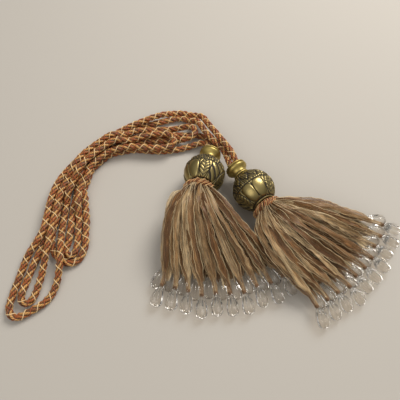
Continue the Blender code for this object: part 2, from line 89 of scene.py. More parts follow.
# each row is a section: the outer edge's place, then each inner run's distance in and height
BUNDLE = (
    ((-108, 75), (24.4, 4.2), (13.4, 14.8), (13.0, 4.2), (23.0, 13.0), (33.6, 4.2), (33.8, 12.8)),
    ((-120, 66.5), (17.0, 4.2), (8.8, 21.8), (13.4, 13.0), (18.0, 21.4), (27.0, 4.2),
     (26.8, 12.9)),
    ((-133, 57), (12.8, 4.2), (8.2, 20.6), (12.8, 12.8), (17.0, 20.6), (21.8, 4.2), (21.8, 12.8)),
    ((-146, 45), (12.8, 4.2), (8.2, 20.6), (12.8, 12.8), (17.0, 20.6), (22.0, 4.2), (22.0, 12.8)),
    ((-157, 32.5), (12.8, 4.2), (8.4, 20.6), (12.9, 12.8), (17.2, 21.0), (22.4, 4.2),
     (22.6, 12.8)),
    ((-167, 19), (12.8, 4.2), (11.0, 20.0), (20.6, 12.2), (19.4, 21.8), (29.2, 4.2), (29.8, 12.8)),
    ((-176, 4.5), (12.8, 4.2), (12.8, 13.0), (24.8, 4.2), (21.3, 14.4), (33.8, 4.2), (32.4, 12.8)),
    ((-182, -11), (12.8, 4.2), (12.9, 13.0), (29.4, 4.2), (21.5, 12.6), (40.4, 4.2), (34.6, 12.9)),
    ((-185, -29), (12.8, 4.2), (13.0, 13.0), (30.2, 4.2), (21.4, 4.2), (44.2, 4.2), (37.2, 12.6)),
    ((-186, -48), (12.8, 4.2), (13.0, 13.0), (31.0, 4.2), (21.4, 4.2), (48.6, 4.2), (39.7, 4.2)),
    ((-187.5, -66), (12.8, 4.2), (13.0, 13.0), (32.8, 4.2), (23.2, 4.2), (51.0, 4.2), (42.0, 4.2)),
)

# %% The stretches outside the bundle
RIGHT_NECK_TO_BUNDLE_OVER = (
    (41.1, 12.3, 21.4), (38.4, 18.6, 21.2), (34.2, 29.4, 23.6), (26.3, 42.0, 25.0),
    (19.6, 53.2, 23.2), (12.8, 65.0, 21.2), (7.0, 75.0, 19.0), (2.8, 83.5, 16.5),
    (-0.4, 90.6, 14.0), (-4.6, 95.4, 12.0), (-9.5, 97.6, 10.0), (-15.0, 99.8, 7.8),
    (-22.0, 103.2, 5.4), (-31.0, 105.8, 4.4), (-41.0, 104.4, 5.4), (-53.0, 99.8, 9.6),
    (-66.0, 93.2, 12.4), (-79.0, 86.8, 12.8), (-92.0, 80.0, 12.8),
)
RIGHT_NECK_TO_BUNDLE_UNDER = (
    (34.3, 8.2, 21.4), (31.3, 14.3, 21.2), (28.9, 24.0, 18.8), (25.9, 33.3, 18.1),
    (21.6, 41.0, 18.5), (15.2, 48.6, 18.8), (7.6, 57.8, 18.6), (0.6, 67.8, 17.8),
    (-4.2, 77.2, 17.2), (-9.0, 84.8, 14.2), (-14.8, 89.6, 9.4), (-21.5, 93.6, 5.8),
    (-30.0, 97.0, 4.4), (-41.0, 95.6, 4.2), (-53.0, 92.4, 4.2), (-66.0, 88.8, 4.2),
    (-79.0, 85.0, 4.2), (-92.0, 79.4, 4.2),
)
LOWER_OUTER_BIGHT = (
    (-189.4, -82.0, 11.6), (-197.0, -94.6, 7.4), (-201.0, -107.0, 4.6), (-203.2, -119.0, 4.2),
    (-205.6, -131.0, 4.2), (-207.4, -143.0, 4.2), (-208.0, -152.0, 4.2), (-205.0, -160.0, 4.2),
    (-198.5, -162.6, 4.2), (-191.5, -160.2, 4.2), (-185.2, -156.4, 4.2), (-178.2, -152.2, 4.2),
    (-171.0, -146.6, 4.2), (-165.2, -138.6, 4.2), (-161.4, -127.0, 4.8), (-159.6, -114.0, 9.0),
    (-159.0, -102.0, 12.8), (-159.8, -92.0, 12.9), (-162.2, -79.0, 10.2),
)
LOWER_INNER_BIGHT = (
    (-184.2, -79.0, 4.2), (-186.8, -92.0, 4.2), (-190.2, -104.0, 4.2), (-193.0, -116.0, 4.2),
    (-195.2, -127.0, 4.2), (-197.2, -136.6, 4.2), (-197.4, -142.0, 4.2), (-194.8, -146.6, 4.2),
    (-190.2, -147.9, 4.2), (-185.8, -145.0, 4.2), (-183.0, -138.4, 4.2), (-181.0, -129.0, 4.4),
    (-178.6, -117.0, 6.2), (-176.8, -105.0, 10.2), (-175.6, -93.0, 12.8), (-174.8, -80.0, 13.0),
)
UPPER_TOP_BIGHT = (
    (-80.0, 61.4, 13.2), (-68.0, 65.2, 12.9), (-57.0, 66.8, 12.8), (-47.5, 66.4, 13.0),
    (-41.0, 63.0, 13.2), (-37.8, 57.0, 13.2), (-39.4, 50.6, 13.2), (-45.0, 46.6, 13.0),
    (-54.0, 45.4, 12.8), (-66.0, 45.4, 12.8), (-77.0, 46.4, 12.8),
)
UPPER_FAR_BIGHT = (
    (-90.0, 71.2, 12.0), (-79.0, 76.4, 6.8), (-68.0, 78.4, 4.4), (-55.0, 79.0, 4.2),
    (-42.0, 79.4, 4.6), (-31.0, 79.6, 7.2), (-21.0, 79.0, 11.0), (-14.0, 76.2, 13.0),
    (-11.0, 70.0, 13.2), (-14.0, 64.0, 13.0), (-21.0, 61.0, 11.0), (-31.0, 60.6, 6.8),
    (-42.0, 61.0, 4.2), (-54.0, 61.4, 4.2), (-67.0, 61.0, 4.2), (-80.0, 59.2, 4.2),
)
SECOND_INNER_BIGHT = (
    (-144.7, -76.0, 4.2), (-144.9, -83.0, 4.2), (-145.6, -88.5, 4.2), (-147.7, -92.6, 4.2),
    (-151.4, -94.3, 4.2), (-155.2, -92.6, 4.2), (-157.0, -88.3, 4.2), (-156.4, -83.0, 4.2),
    (-154.9, -76.0, 4.2),
)
SECOND_OUTER_BIGHT = (
    (-174.0, -78.0, 4.2), (-171.4, -87.6, 4.2), (-166.0, -95.0, 4.2), (-159.5, -100.0, 4.2),
    (-152.0, -103.0, 4.2), (-144.6, -101.6, 4.2), (-139.0, -95.8, 4.2), (-136.2, -86.8, 4.2),
    (-135.4, -77.0, 4.2),
)
BUNDLE_TO_LEFT_NECK_RIGHT = (
    (-88.0, 66.4, 4.2), (-76.0, 68.8, 4.2), (-63.0, 70.2, 4.2), (-49.0, 70.4, 4.2),
    (-35.0, 70.2, 4.2), (-21.0, 70.0, 4.2), (-8.0, 69.6, 4.2), (2.6, 66.4, 4.4),
    (9.6, 60.0, 5.4), (13.2, 52.6, 7.8), (14.2, 46.0, 10.8), (13.3, 40.4, 12.9),
    (11.7, 34.0, 14.35),
)
BUNDLE_TO_LEFT_NECK_LEFT = (
    (-75.0, 46.6, 4.2), (-60.0, 45.6, 4.2), (-46.0, 46.2, 4.2), (-33.0, 48.2, 4.2),
    (-22.0, 51.0, 4.8), (-12.0, 53.8, 6.4), (-3.6, 54.8, 8.8), (2.8, 52.4, 11.2),
    (5.8, 47.6, 12.6), (5.1, 42.2, 12.9), (3.7, 35.8, 14.35),
)


# %% A smooth line through a route's points
def catmull_point(p0, p1, p2, p3, t):
    """One point of a centripetal curve through p1 and p2."""
    k1 = max((p1 - p0).length, 1e-6) ** 0.5
    k2 = k1 + max((p2 - p1).length, 1e-6) ** 0.5
    k3 = k2 + max((p3 - p2).length, 1e-6) ** 0.5
    at = k1 + (k2 - k1) * t
    a1 = p0.lerp(p1, at / k1)
    a2 = p1.lerp(p2, (at - k1) / (k2 - k1))
    a3 = p2.lerp(p3, (at - k2) / (k3 - k2))
    b1 = a1.lerp(a2, at / k2)
    b2 = a2.lerp(a3, (at - k1) / (k3 - k1))
    return b1.lerp(b2, (at - k1) / (k2 - k1))


def smooth_route(points, steps=12):
    """Close points on the smooth curve through the route's own points."""
    line = [Vector(p) for p in points]
    ends = [line[0] * 2 - line[1]] + line + [line[-1] * 2 - line[-2]]
    fine = []
    for i in range(len(line) - 1):
        for k in range(steps):
            fine.append(catmull_point(*ends[i:i + 4], k / steps))
    fine.append(line[-1])
    for place in fine:
        place.z = max(place.z, CORD_D / 2 + CORD_LIFT)
    return fine


def bundle_runs():
    """Each run's points through the gathered bundle, from its upper end to its lower one."""
    edges = [Vector(row[0]) for row in BUNDLE]
    runs = {name: [] for name in (*EDGE_RUNS, *INNER_RUNS)}
    for i, row in enumerate(BUNDLE):
        along = edges[min(i + 1, len(edges) - 1)] - edges[max(i - 1, 0)]
        inward = Vector((-along.y, along.x)).normalized()
        section = EDGE_RUNS | dict(zip(INNER_RUNS, row[1:]))
        for name, (across, height) in section.items():
            place = edges[i] + inward * across
            runs[name].append((place.x, place.y, height))
    return runs


# %% The two routes at an even spacing
RING_STEP = 1.05 * MM


def even_line(fine, step):
    """The same line in metres, with its points an even step apart."""
    line = np.array([tuple(p) for p in fine]) * MM
    lengths = np.concatenate([[0.0], np.cumsum(np.linalg.norm(np.diff(line, axis=0), axis=1))])
    marks = np.linspace(0.0, lengths[-1], int(lengths[-1] / step) + 1)
    return np.stack([np.interp(marks, lengths, line[:, k]) for k in range(3)], axis=1), lengths[-1]


runs = bundle_runs()
up = {name: tuple(reversed(points)) for name, points in runs.items()}
ROUTES = {
    "cord_over": [*RIGHT_NECK_TO_BUNDLE_OVER, *runs["a_over"], *LOWER_OUTER_BIGHT, *up["c"],
                  *UPPER_TOP_BIGHT, *runs["d"], *SECOND_INNER_BIGHT, *up["e"],
                  *BUNDLE_TO_LEFT_NECK_RIGHT],
    "cord_under": [*RIGHT_NECK_TO_BUNDLE_UNDER, *runs["a_under"], *LOWER_INNER_BIGHT, *up["b"],
                   *UPPER_FAR_BIGHT, *runs["x"], *SECOND_OUTER_BIGHT, *up["f"],
                   *BUNDLE_TO_LEFT_NECK_LEFT],
}
LINES = {name: even_line(smooth_route(route), RING_STEP) for name, route in ROUTES.items()}
for name, (line, length) in LINES.items():
    print(name, "is", round(length, 3), "m long, with", len(line), "rings")

# %% [markdown]
# A rope's surface is a tube whose section has one lobe for each ply and turns as it goes along.
# A grid is a good start for it: its columns become the plies, its rows the rings, and its UV map
# comes with it, so that the yarn's fine stripes can follow the plies. The same skin serves the
# thin threads, the ruche's looped cord and anything else that is swept along a line.


# %% Skin a line with a tube
def transport(line):
    """Two side vectors along a line that turn as little as they can."""
    tangents = np.gradient(line, axis=0)
    tangents /= np.linalg.norm(tangents, axis=1)[:, None]
    side = np.cross(tangents[0], (0.0, 0.0, 1.0))
    if np.linalg.norm(side) < 1e-6:
        side = np.array((1.0, 0.0, 0.0))
    sides = []
    for tangent in tangents:
        side = side - tangent * np.dot(side, tangent)
        side /= np.linalg.norm(side)
        sides.append(side)
    sides = np.array(sides)
    return sides, np.cross(tangents, sides)


def tube(bm, line, columns, radius, twist, slot, closed=False, sunk=0.0):
    """Skin a line. radius(row, angle) is from the line, and twist(row) turns the columns.

    slot is a material index, or a function that gives one for each column. What lies within
    sunk of the line is marked as hollow."""
    sides, normals = transport(line)
    rows = len(line)
    uv = bm.loops.layers.uv.verify()
    hollow = bm.verts.layers.float.get("hollow") or bm.verts.layers.float.new("hollow")
    made = bmesh.ops.create_grid(bm, x_segments=columns, y_segments=rows - 1, size=1.0,
                                 calc_uvs=True)["verts"]
    seam, ends = [], []
    for index, vert in enumerate(made):
        row, column = divmod(index, columns + 1)
        angle = 2 * math.pi * column / columns
        turn = angle + twist(row)
        reach = radius(row, angle)
        vert.co = Vector(line[row] + (sides[row] * math.cos(turn)
                                      + normals[row] * math.sin(turn)) * reach)
        # the hollow mark is where the yarn materials paint shade into the grooves
        vert[hollow] = 1.0 if reach < sunk else 0.0
        if column in (0, columns):
            seam.append(vert)
        if row in (0, rows - 1):
            ends.append(vert)
    faces = {face for vert in made for face in vert.link_faces}
    length = float(np.sum(np.linalg.norm(np.diff(line, axis=0), axis=1)))
    for face in faces:
        middle = sum(loop[uv].uv.x for loop in face.loops) / len(face.loops)
        face.material_index = slot(int(middle * columns)) if callable(slot) else slot
        face.smooth = True
        for loop in face.loops:
            loop[uv].uv = (loop[uv].uv.x, loop[uv].uv.y * length)
    if closed:
        seam = list(set(seam) | set(ends))
    bmesh.ops.remove_doubles(bm, verts=seam, dist=1e-6)
    if not closed:
        rims = {edge for vert in ends if vert.is_valid for edge in vert.link_edges
                if edge.is_boundary}
        bmesh.ops.holes_fill(bm, edges=list(rims), sides=0)


def to_mesh(bm, name):
    mesh = bpy.data.meshes.new(name)
    bm.to_mesh(mesh)
    bm.free()
    return mesh


def finish_piece(name, bm, materials, nodes, outward=True):
    """Make the mesh an object that rides on the body and stands for its CAD nodes."""
    if outward:
        bmesh.ops.recalc_face_normals(bm, faces=bm.faces)
    mesh = to_mesh(bm, name)
    for one in materials:
        mesh.materials.append(one)
    piece = add_object(name, mesh)
    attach(piece, "root")
    if nodes:
        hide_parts(*nodes)
    print(name, "has", len(mesh.polygons), "faces")
    return piece


# %% [markdown]
# Before the pieces come their finishes. Yarn, brass, sheer ribbon and acrylic each get one
# material, and what two of them share is a node group: the spun yarn's slanting fibres, and the
# wandering of a dye or a patina over the surface.


# %% Node helpers
def new_material(name):
    mat = bpy.data.materials.new(name)
    mat.use_nodes = True
    return mat, mat.node_tree, mat.node_tree.nodes["Principled BSDF"]


def feed(socket, value):
    """Give a socket a value or a colour of its own, or link an output to it."""
    if isinstance(value, bpy.types.NodeSocket):
        socket.id_data.links.new(value, socket)
    else:
        socket.default_value = (*value, 1.0) if isinstance(value, tuple) else value


def set_inputs(node, *in_order, **by_name):
    """Feed a node's sockets, in order or by name, with _ where the name has a space."""
    for socket, value in zip(node.inputs, in_order):
        feed(socket, value)
    for name, value in by_name.items():
        feed(node.inputs[name.replace("_", " ")], value)
    return node


def add_node(tree, kind, *in_order, **by_name):
    return set_inputs(tree.nodes.new(kind), *in_order, **by_name)


def math_node(tree, operation, *values, clamp=False):
    node = tree.nodes.new("ShaderNodeMath")
    node.operation = operation
    node.use_clamp = clamp
    return set_inputs(node, *values).outputs[0]


def ramp(tree, factor, stops):
    node = add_node(tree, "ShaderNodeValToRGB", factor)
    elements = node.color_ramp.elements
    while len(elements) < len(stops):
        elements.new(0.5)
    for element, (position, colour) in zip(elements, stops):
        element.position = position
        element.color = (*colour, 1.0)
    return node.outputs[0]


def mix_colour(tree, factor, first, second, blend="MIX"):
    node = tree.nodes.new("ShaderNodeMix")
    node.data_type = "RGBA"
    node.blend_type = blend
    for place, value in ((0, factor), (6, first), (7, second)):
        feed(node.inputs[place], value)
    return node.outputs[2]


def noise(tree, place, scale, detail=3.0):
    return add_node(tree, "ShaderNodeTexNoise", Vector=place, Scale=scale, Detail=detail).outputs[0]


def bump(tree, height, strength, distance):
    return add_node(tree, "ShaderNodeBump", Height=height, Strength=strength,
                    Distance=distance).outputs[0]


def rise(tree, value, low, high, top=1.0):
    """From 0 to top while the value goes from low to high."""
    return add_node(tree, "ShaderNodeMapRange", Value=value, From_Min=low, From_Max=high,
                    To_Max=top).outputs[0]


def stored_value(tree, name):
    """What was stored on the mesh's points while it was made."""
    node = tree.nodes.new("ShaderNodeAttribute")
    node.attribute_name = name
    return node.outputs["Fac"]


# %% The spun yarn group
def group_tree(name, inputs, outputs):
    """A group with an input for each value given, or for a vector where it is None."""
    tree = bpy.data.node_groups.new(name, "ShaderNodeTree")
    for label, value in inputs.items():
        kind = "NodeSocketVector" if value is None else "NodeSocketFloat"
        socket = tree.interface.new_socket(label, in_out="INPUT", socket_type=kind)
        if value is not None:
            socket.default_value = value
    for label in outputs:
        tree.interface.new_socket(label, in_out="OUTPUT", socket_type="NodeSocketFloat")
    return tree, tree.nodes.new("NodeGroupInput").outputs, tree.nodes.new("NodeGroupOutput")


def build_spun_yarn():
    """Slanting yarns on a UV map: U goes once round the tube, V is the length in metres."""
    tree, given, leave = group_tree(
        "spun yarn", {"UV": None, "Yarns Round": 12.0, "Yarns Per Metre": 400.0},
        ("Height", "Fibre"))
    around, along, _ = add_node(tree, "ShaderNodeSeparateXYZ", given["UV"]).outputs
    phase = math_node(tree, "ADD", math_node(tree, "MULTIPLY", around, given["Yarns Round"]),
                      math_node(tree, "MULTIPLY", along, given["Yarns Per Metre"]))
    wave = math_node(tree, "SINE", math_node(tree, "MULTIPLY", phase, 2 * math.pi))
    stretch = add_node(tree, "ShaderNodeCombineXYZ", math_node(tree, "MULTIPLY", phase, 6.0),
                       math_node(tree, "MULTIPLY", along, 300.0))
    set_inputs(leave, Height=math_node(tree, "MULTIPLY_ADD", wave, 0.5, 0.5),
               Fibre=noise(tree, stretch.outputs[0], 1.0))
    return tree


SPUN_YARN = build_spun_yarn()


# %% The wandering tone group
def build_wander():
    """A slow and a fine wandering over Object coordinates, both from 0 to 1."""
    tree, given, leave = group_tree(
        "wandering tone", {"Slow Scale": 40.0, "Fine Scale": 600.0}, ("Slow", "Fine"))
    place = tree.nodes.new("ShaderNodeTexCoord").outputs["Object"]
    set_inputs(leave, Slow=noise(tree, place, given["Slow Scale"]),
               Fine=noise(tree, place, given["Fine Scale"]))
    return tree


WANDER = build_wander()


def use_group(tree, group, **values):
    node = tree.nodes.new("ShaderNodeGroup")
    node.node_tree = group
    return set_inputs(node, **values).outputs


# %% Yarn materials
def make_yarn(name, dark, light, yarns_round, yarns_per_metre):
    """A spun, slightly shiny yarn, lighter on its fibres' crests and darker between them: partly
    the yarns' own tones, partly painted light and shade.
    """
    mat, tree, shader = new_material(name)
    uv = tree.nodes.new("ShaderNodeUVMap").outputs[0]
    yarn = use_group(tree, SPUN_YARN, UV=uv, Yarns_Round=yarns_round,
                     Yarns_Per_Metre=yarns_per_metre)
    tone = use_group(tree, WANDER, Slow_Scale=90.0, Fine_Scale=1400.0)
    # the crest stripe also drives the bump; its colour is partly the yarns' tones, partly painted
    # light on the crests and painted shade between them
    weight = math_node(tree, "MULTIPLY", yarn["Height"], 0.55)
    weight = math_node(tree, "MULTIPLY_ADD", yarn["Fibre"], 0.5, weight)
    weight = math_node(tree, "MULTIPLY_ADD", tone["Slow"], 0.5, weight)
    colour = ramp(tree, weight, ((0.35, dark), (1.0, light)))
    # painted shade: the hollow grooves between the plies are mixed towards near black
    deep = math_node(tree, "MULTIPLY", stored_value(tree, "hollow"), 0.88)
    height = math_node(tree, "MULTIPLY_ADD", yarn["Fibre"], 0.4, yarn["Height"])
    set_inputs(shader, Base_Color=mix_colour(tree, deep, colour, (0.012, 0.004, 0.002)),
               Roughness=math_node(tree, "MULTIPLY_ADD", tone["Fine"], 0.25, 0.38),
               Sheen_Weight=0.06, Specular_IOR_Level=0.40, Normal=bump(tree, height, 0.35, 0.0004))
    return mat


RUST_PLY = make_yarn("rust_ply", (0.044, 0.013, 0.004), (0.46, 0.138, 0.026), 12, 500)
TAN_PLY = make_yarn("tan_ply", (0.10, 0.034, 0.008), (0.72, 0.37, 0.108), 12, 500)
BROWN_PLY = make_yarn("brown_ply", (0.030, 0.010, 0.004), (0.31, 0.105, 0.029), 12, 500)
GOLD_THREAD = make_yarn("gold_thread", (0.42, 0.24, 0.080), (1.0, 0.76, 0.42), 2, 700)
RED_THREAD = make_yarn("red_thread", (0.12, 0.022, 0.007), (0.46, 0.11, 0.032), 2, 700)
CORD_MATERIALS = (RUST_PLY, TAN_PLY, BROWN_PLY, GOLD_THREAD, RED_THREAD)
print("yarns:", [yarn.name for yarn in CORD_MATERIALS])

# %% [markdown]
# Each cord has four plies laid together, two of them tan, with a gold and a red thread wound over
# them the other way. The plies' own grooves are cut deep and painted near black as shade, because
# the dark gaps between them are what makes the cord read as rope. The threads climb over each ply
# and dip between two of them.

# %% The cords
PLIES = 4
PLY_R = 1.60 * MM
PLY_AT = 2.24 * MM
ROPE_R = PLY_AT + PLY_R
GROOVE_R = 2.90 * MM
PLY_LAY = 31.0 * MM
COLUMNS = 28
THREAD_LAY = 15.8 * MM
THREADS = ((0.0, 0.58 * MM, 3), (math.pi, 0.52 * MM, 4))
THREAD_STEP = 1.6 * MM
THREAD_COLUMNS = 6
THREAD_DIP = 0.35
THREAD_SUNK = 0.05 * MM
ROPE_REST = 0.02 * MM
PLY_SLOTS = (0, 1, 2, 1)


def ply_radius(angle):
    """Distance from the cord's line to the outside of its plies."""
    share = 2 * math.pi / PLIES
    off = (angle + share / 2) % share - share / 2
    sunk = PLY_AT * math.sin(off)
    crest = PLY_AT * math.cos(off) + math.sqrt(max(0.0, PLY_R ** 2 - sunk ** 2))
    return max(GROOVE_R, crest)


def ply_slot(column):
    angle = 2 * math.pi * (column + 0.5) / COLUMNS
    return PLY_SLOTS[int((angle / (2 * math.pi) * PLIES + 0.5) % PLIES)]


def thread_line(line, phase):
    """A thread's own line, wound against the plies."""
    sides, normals = transport(line)
    lengths = np.arange(len(line)) * RING_STEP
    turns = lengths * 2 * math.pi * math.hypot(1 / THREAD_LAY, 1 / (2 * math.pi * ROPE_R))
    marks = np.linspace(0.0, lengths[-1], int(turns[-1] * ROPE_R / THREAD_STEP))
    places = []
    for mark in marks:
        at = mark / RING_STEP
        low = min(int(at), len(line) - 2)
        share = at - low
        centre = line[low] * (1 - share) + line[low + 1] * share
        side = sides[low] * (1 - share) + sides[low + 1] * share
        normal = normals[low] * (1 - share) + normals[low + 1] * share
        turn = phase - 2 * math.pi * mark / THREAD_LAY
        ply = ply_radius(turn - 2 * math.pi * mark / PLY_LAY)
        lie = THREAD_DIP * ply + (1 - THREAD_DIP) * ROPE_R - THREAD_SUNK
        places.append(centre + (side * math.cos(turn) + normal * math.sin(turn)) * lie)
    return np.array(places)


def make_cord(name):
    line, length = LINES[name]
    bm = bmesh.new()
    tube(bm, line, COLUMNS, lambda row, angle: ply_radius(angle),
         lambda row: 2 * math.pi * row * RING_STEP / PLY_LAY, ply_slot,
         sunk=GROOVE_R + THREAD_SUNK)
    for phase, thick, slot in THREADS:
        tube(bm, thread_line(line, phase), THREAD_COLUMNS, lambda row, angle, r=thick: r,
             lambda row: 0.0, slot)
    for vert in bm.verts:
        vert.co.z = max(vert.co.z, ROPE_REST)
    rope = finish_piece(name + "_rope", bm, CORD_MATERIALS, [name])


for name in LINES:
    make_cord(name)

# %% [markdown]
# Each tassel has its own straight axis through the ball. A matrix carries what is turned on that
# axis, with +Z up the neck, to where the ball lies. It comes from the same angles as the solids.

# %% The tassels' places
# the balls' places in millimetres, and in degrees from -Y towards +X the way a skirt points and
# the edges of its fan; rise is its tilt, reach goes from the ball to the beads at either edge, and
# shifts are of the two rows of beads
BALL_R = 25.0
BALL_REST = 24.6
TASSELS = {
    "left": dict(ball=(0.0, 0.0), heading=-12.5, rise=16.0, first=-22.5, last=35.0,
                 reach=(150.0, 160.0), shifts=(0.0, 0.5)),
    "right": dict(ball=(56.9, -21.5), heading=31.0, rise=5.0, first=24.5, last=78.0,
                  reach=(157.0, 165.0), shifts=(0.5, 0.0)),
}


def head_matrix(row):
    """From the head's own axes, in millimetres, to the frame, in metres."""
    heading, rise = math.radians(row["heading"]), math.radians(row["rise"])
    skirt_way = Vector((math.sin(heading) * math.cos(rise), -math.cos(heading) * math.cos(rise),
                        math.sin(rise)))
    turn = (-skirt_way).to_track_quat("Z", "Y").to_matrix().to_4x4()
    return Matrix.Translation(Vector((*row["ball"], BALL_REST)) * MM) @ turn @ Matrix.Scale(MM, 4)


HEADS = {side: head_matrix(row) for side, row in TASSELS.items()}

# %% [markdown]
# The gold parts are cast and polished, then stained so that the stain stays in the hollows. On
# the turned collar it dulls the grooves, and the same dark colour fills the cord recess as painted
# shade; on the ball it draws the whole ornament. The hollows are stored on the mesh as an
# attribute while it is made, which costs nothing to render.


# %% Brass materials
def make_brass(name, bright, stain_and_shade, stain_and_shade_from, stain_and_shade_to, rough):
    mat, tree, shader = new_material(name)
    tone = use_group(tree, WANDER, Slow_Scale=120.0, Fine_Scale=900.0)
    spread = math_node(tree, "MULTIPLY_ADD", tone["Slow"], 0.5, -0.25)
    spread = math_node(tree, "ADD", spread, stored_value(tree, "hollow"))
    mask = rise(tree, spread, stain_and_shade_from, stain_and_shade_to)
    dull = math_node(tree, "MULTIPLY_ADD", mask, 0.35, rough)
    set_inputs(shader, Base_Color=mix_colour(tree, mask, bright, stain_and_shade),
               Metallic=math_node(tree, "MULTIPLY_ADD", mask, -0.75, 1.0),
               Roughness=math_node(tree, "MULTIPLY_ADD", tone["Fine"], 0.12, dull),
               Normal=bump(tree, tone["Fine"], 0.15, 0.0003))
    return mat


# the collar's dark colour stains its grooves and is painted shade in the cord recess
COLLAR_GOLD = make_brass("collar_gold", (0.47, 0.355, 0.115), (0.040, 0.026, 0.008), 0.30, 1.0,
                         0.36)
BALL_GOLD = make_brass("ball_gold", (0.37, 0.29, 0.120), (0.014, 0.009, 0.004), 0.22, 0.74, 0.27)

# %% [markdown]
# The collar is turned on a lathe, so its profile is spun once round the axis. Short arcs give the
# rim, the bowl under it and the small ring that sits on the ball. The recess at the top takes
# both cords.

# %% The collars
CAST_R = BALL_R - 0.4
RECESS_R = 8.9
RECESS_AT = 36.2
RIM_AT = 38.4
UNDERCUT_AT = 37.2
BAND_AT = 34.9
NECK_AT = 26.5
FOOT_AT = 25.0
FOOT_R = 8.6
TURN_STEPS = 72


def on_ball(radius):
    """Height of the cast ball's surface at a distance from the head's axis."""
    return math.sqrt(CAST_R ** 2 - radius ** 2)


def arc(middle_r, middle_z, radius, start, end, steps):
    """Points of a profile on an arc, with its angles in degrees from outwards towards up."""
    angles = [math.radians(start + (end - start) * k / steps) for k in range(steps + 1)]
    return [(middle_r + radius * math.cos(a), middle_z + radius * math.sin(a)) for a in angles]


def collar_profile():
    """Radius and height from the recess over the thin rim, down the band and in to the ball."""
    return [
        (0.0, RECESS_AT), (RECESS_R - 0.2, RECESS_AT), (RECESS_R, RECESS_AT + 0.2),
        (RECESS_R, RIM_AT), (9.4, RIM_AT + 0.5),
        (11.6, RIM_AT + 0.7), *arc(12.05, RIM_AT, 0.8, 90, -80, 8),
        (11.9, 37.4), (11.5, 37.0), *arc(11.2, BAND_AT, 2.0, 80, -35, 12),
        (12.4, 33.0), (11.6, 32.2), (10.5, 31.2), (9.5, 29.9), (8.8, 28.4), (8.4, 26.6),
        *arc(8.5, FOOT_AT, 1.15, 75, -75, 8),
        (FOOT_R, on_ball(FOOT_R) + 0.1), (5.0, on_ball(5.0)), (0.0, on_ball(0.0)),
    ]


def lathe(bm, profile, steps):
    """Spin a profile of radius and height round Z, and close it on the axis."""
    points = [bm.verts.new((r, 0.0, z)) for r, z in profile]
    edges = [bm.edges.new(pair) for pair in zip(points, points[1:])]
    bmesh.ops.spin(bm, geom=points + edges, cent=(0, 0, 0), axis=(0, 0, 1), angle=2 * math.pi,
                   steps=steps, use_merge=True)
    bmesh.ops.remove_doubles(bm, verts=bm.verts, dist=1e-4)
    for face in bm.faces:
        face.smooth = True


def make_collar(side):
    bm = bmesh.new()
    lathe(bm, collar_profile(), TURN_STEPS)
    hollow = bm.verts.layers.float.new("hollow")
    for vert in bm.verts:
        reach = math.hypot(vert.co.x, vert.co.y)
        groove = max(1.1 * math.exp(-((vert.co.z - UNDERCUT_AT) / 0.4) ** 2),
                     0.9 * math.exp(-((vert.co.z - NECK_AT) / 0.5) ** 2),
                     1.0 if vert.co.z < on_ball(FOOT_R) + 0.4 else 0.0)
        # the recess floor is marked fully hollow, which paints shade into the recess under the
        # cords; the grooves' marks are the stain
        vert[hollow] = 1.0 if reach < RECESS_R - 0.1 else groove * 0.9
    bmesh.ops.transform(bm, matrix=HEADS[side], verts=bm.verts)
    return finish_piece("turned_collar_" + side, bm, [COLLAR_GOLD], ["collar_" + side])


RINGS_IN_RECESS = 12
for side in TASSELS:
    collar = make_collar(side)
    rim = np.array([tuple(vert.co) for vert in collar.data.vertices])
    for name, (line, _) in LINES.items():
        outside = line[RINGS_IN_RECESS:-RINGS_IN_RECESS:2]
        near = min(float(np.linalg.norm(rim - place, axis=1).min()) for place in outside)
        print(collar.name, "is", round(near / MM, 2), "mm from the middle of", name)

# %% [markdown]
# The ball is cast with a common leaf ornament: polished swells stand round its lower half, with
# carved leaves and slanting ridges between them, and a wreath of overlapping leaves runs up to the
# collar. A sphere with many segments is pushed in and out by one function of its two angles, as
# a sculptor would do by hand. What lies deep is marked as hollow, for the stain.

# %% The balls' relief
PANELS = 10
PANEL_KINDS = ("leaf", "swell", "swell", "leaf", "ridges", "leaf", "swell", "swell", "leaf",
               "ridges")
WREATH_FROM = 0.06
FOOT_TO = -0.98
RELIEF_FROM = BALL_R - 1.0
TO_VIEWER = Vector((0.0, -0.454, 0.891))


def bump_line(distance, width):
    """1 on a line, falling to 0 at a distance of some widths."""
    return math.exp(-(distance / width) ** 2)


def swell(across, latitude):
    """A broad polished swell inside a thin cut line: height, hollow."""
    far = (abs(across / 0.97) ** 2.7 + abs((latitude + 0.45) / 0.51) ** 2.7) ** (1 / 2.7)
    rim = bump_line(far - 1.0, 0.045)
    if far < 1.0:
        return 0.75 * (1.0 - far ** 2.4) ** 0.5 - 0.5 * rim, 0.85 * rim
    scratch = 0.5 + 0.5 * math.sin(30.0 * latitude + 9.0 * abs(across))
    return -0.25 + 0.40 * scratch - 0.5 * rim, max(0.85 * rim, 0.65 - 0.5 * scratch)


def carved_leaf(across, latitude):
    """A pointed leaf with a beaded middle and slanting veins, over a swell: height, hollow."""
    climb = (latitude - FOOT_TO) / (WREATH_FROM - FOOT_TO)
    margin = 0.88 * math.sin(math.pi * min(1.0, max(0.0, 0.10 + 0.85 * climb))) ** 0.8
    veins = 0.5 + 0.5 * math.sin(2 * math.pi * (climb * 5.5 - abs(across) * 1.3))
    beads = bump_line(across, 0.10) * (0.5 + 0.5 * math.sin(2 * math.pi * climb * 8.0))
    edge = bump_line(abs(across) - margin, 0.09)
    if abs(across) > margin:
        return 0.10 - 0.65 * edge, 0.95 * edge
    height = 0.30 + 0.45 * veins + 0.50 * beads - 0.80 * edge - 0.45 * bump_line(across, 0.13)
    return height, max(edge, 0.75 * (1.0 - veins) ** 2, 0.6 * bump_line(across, 0.13))


def slanting_ridges(across, latitude):
    """Long ridges that run down to one side, like a folded leaf's: height, hollow."""
    wave = 0.5 + 0.5 * math.sin(2 * math.pi * (latitude * 2.6 + across * 0.75))
    return 0.05 + 0.60 * wave, 0.95 * (1.0 - wave) ** 1.6


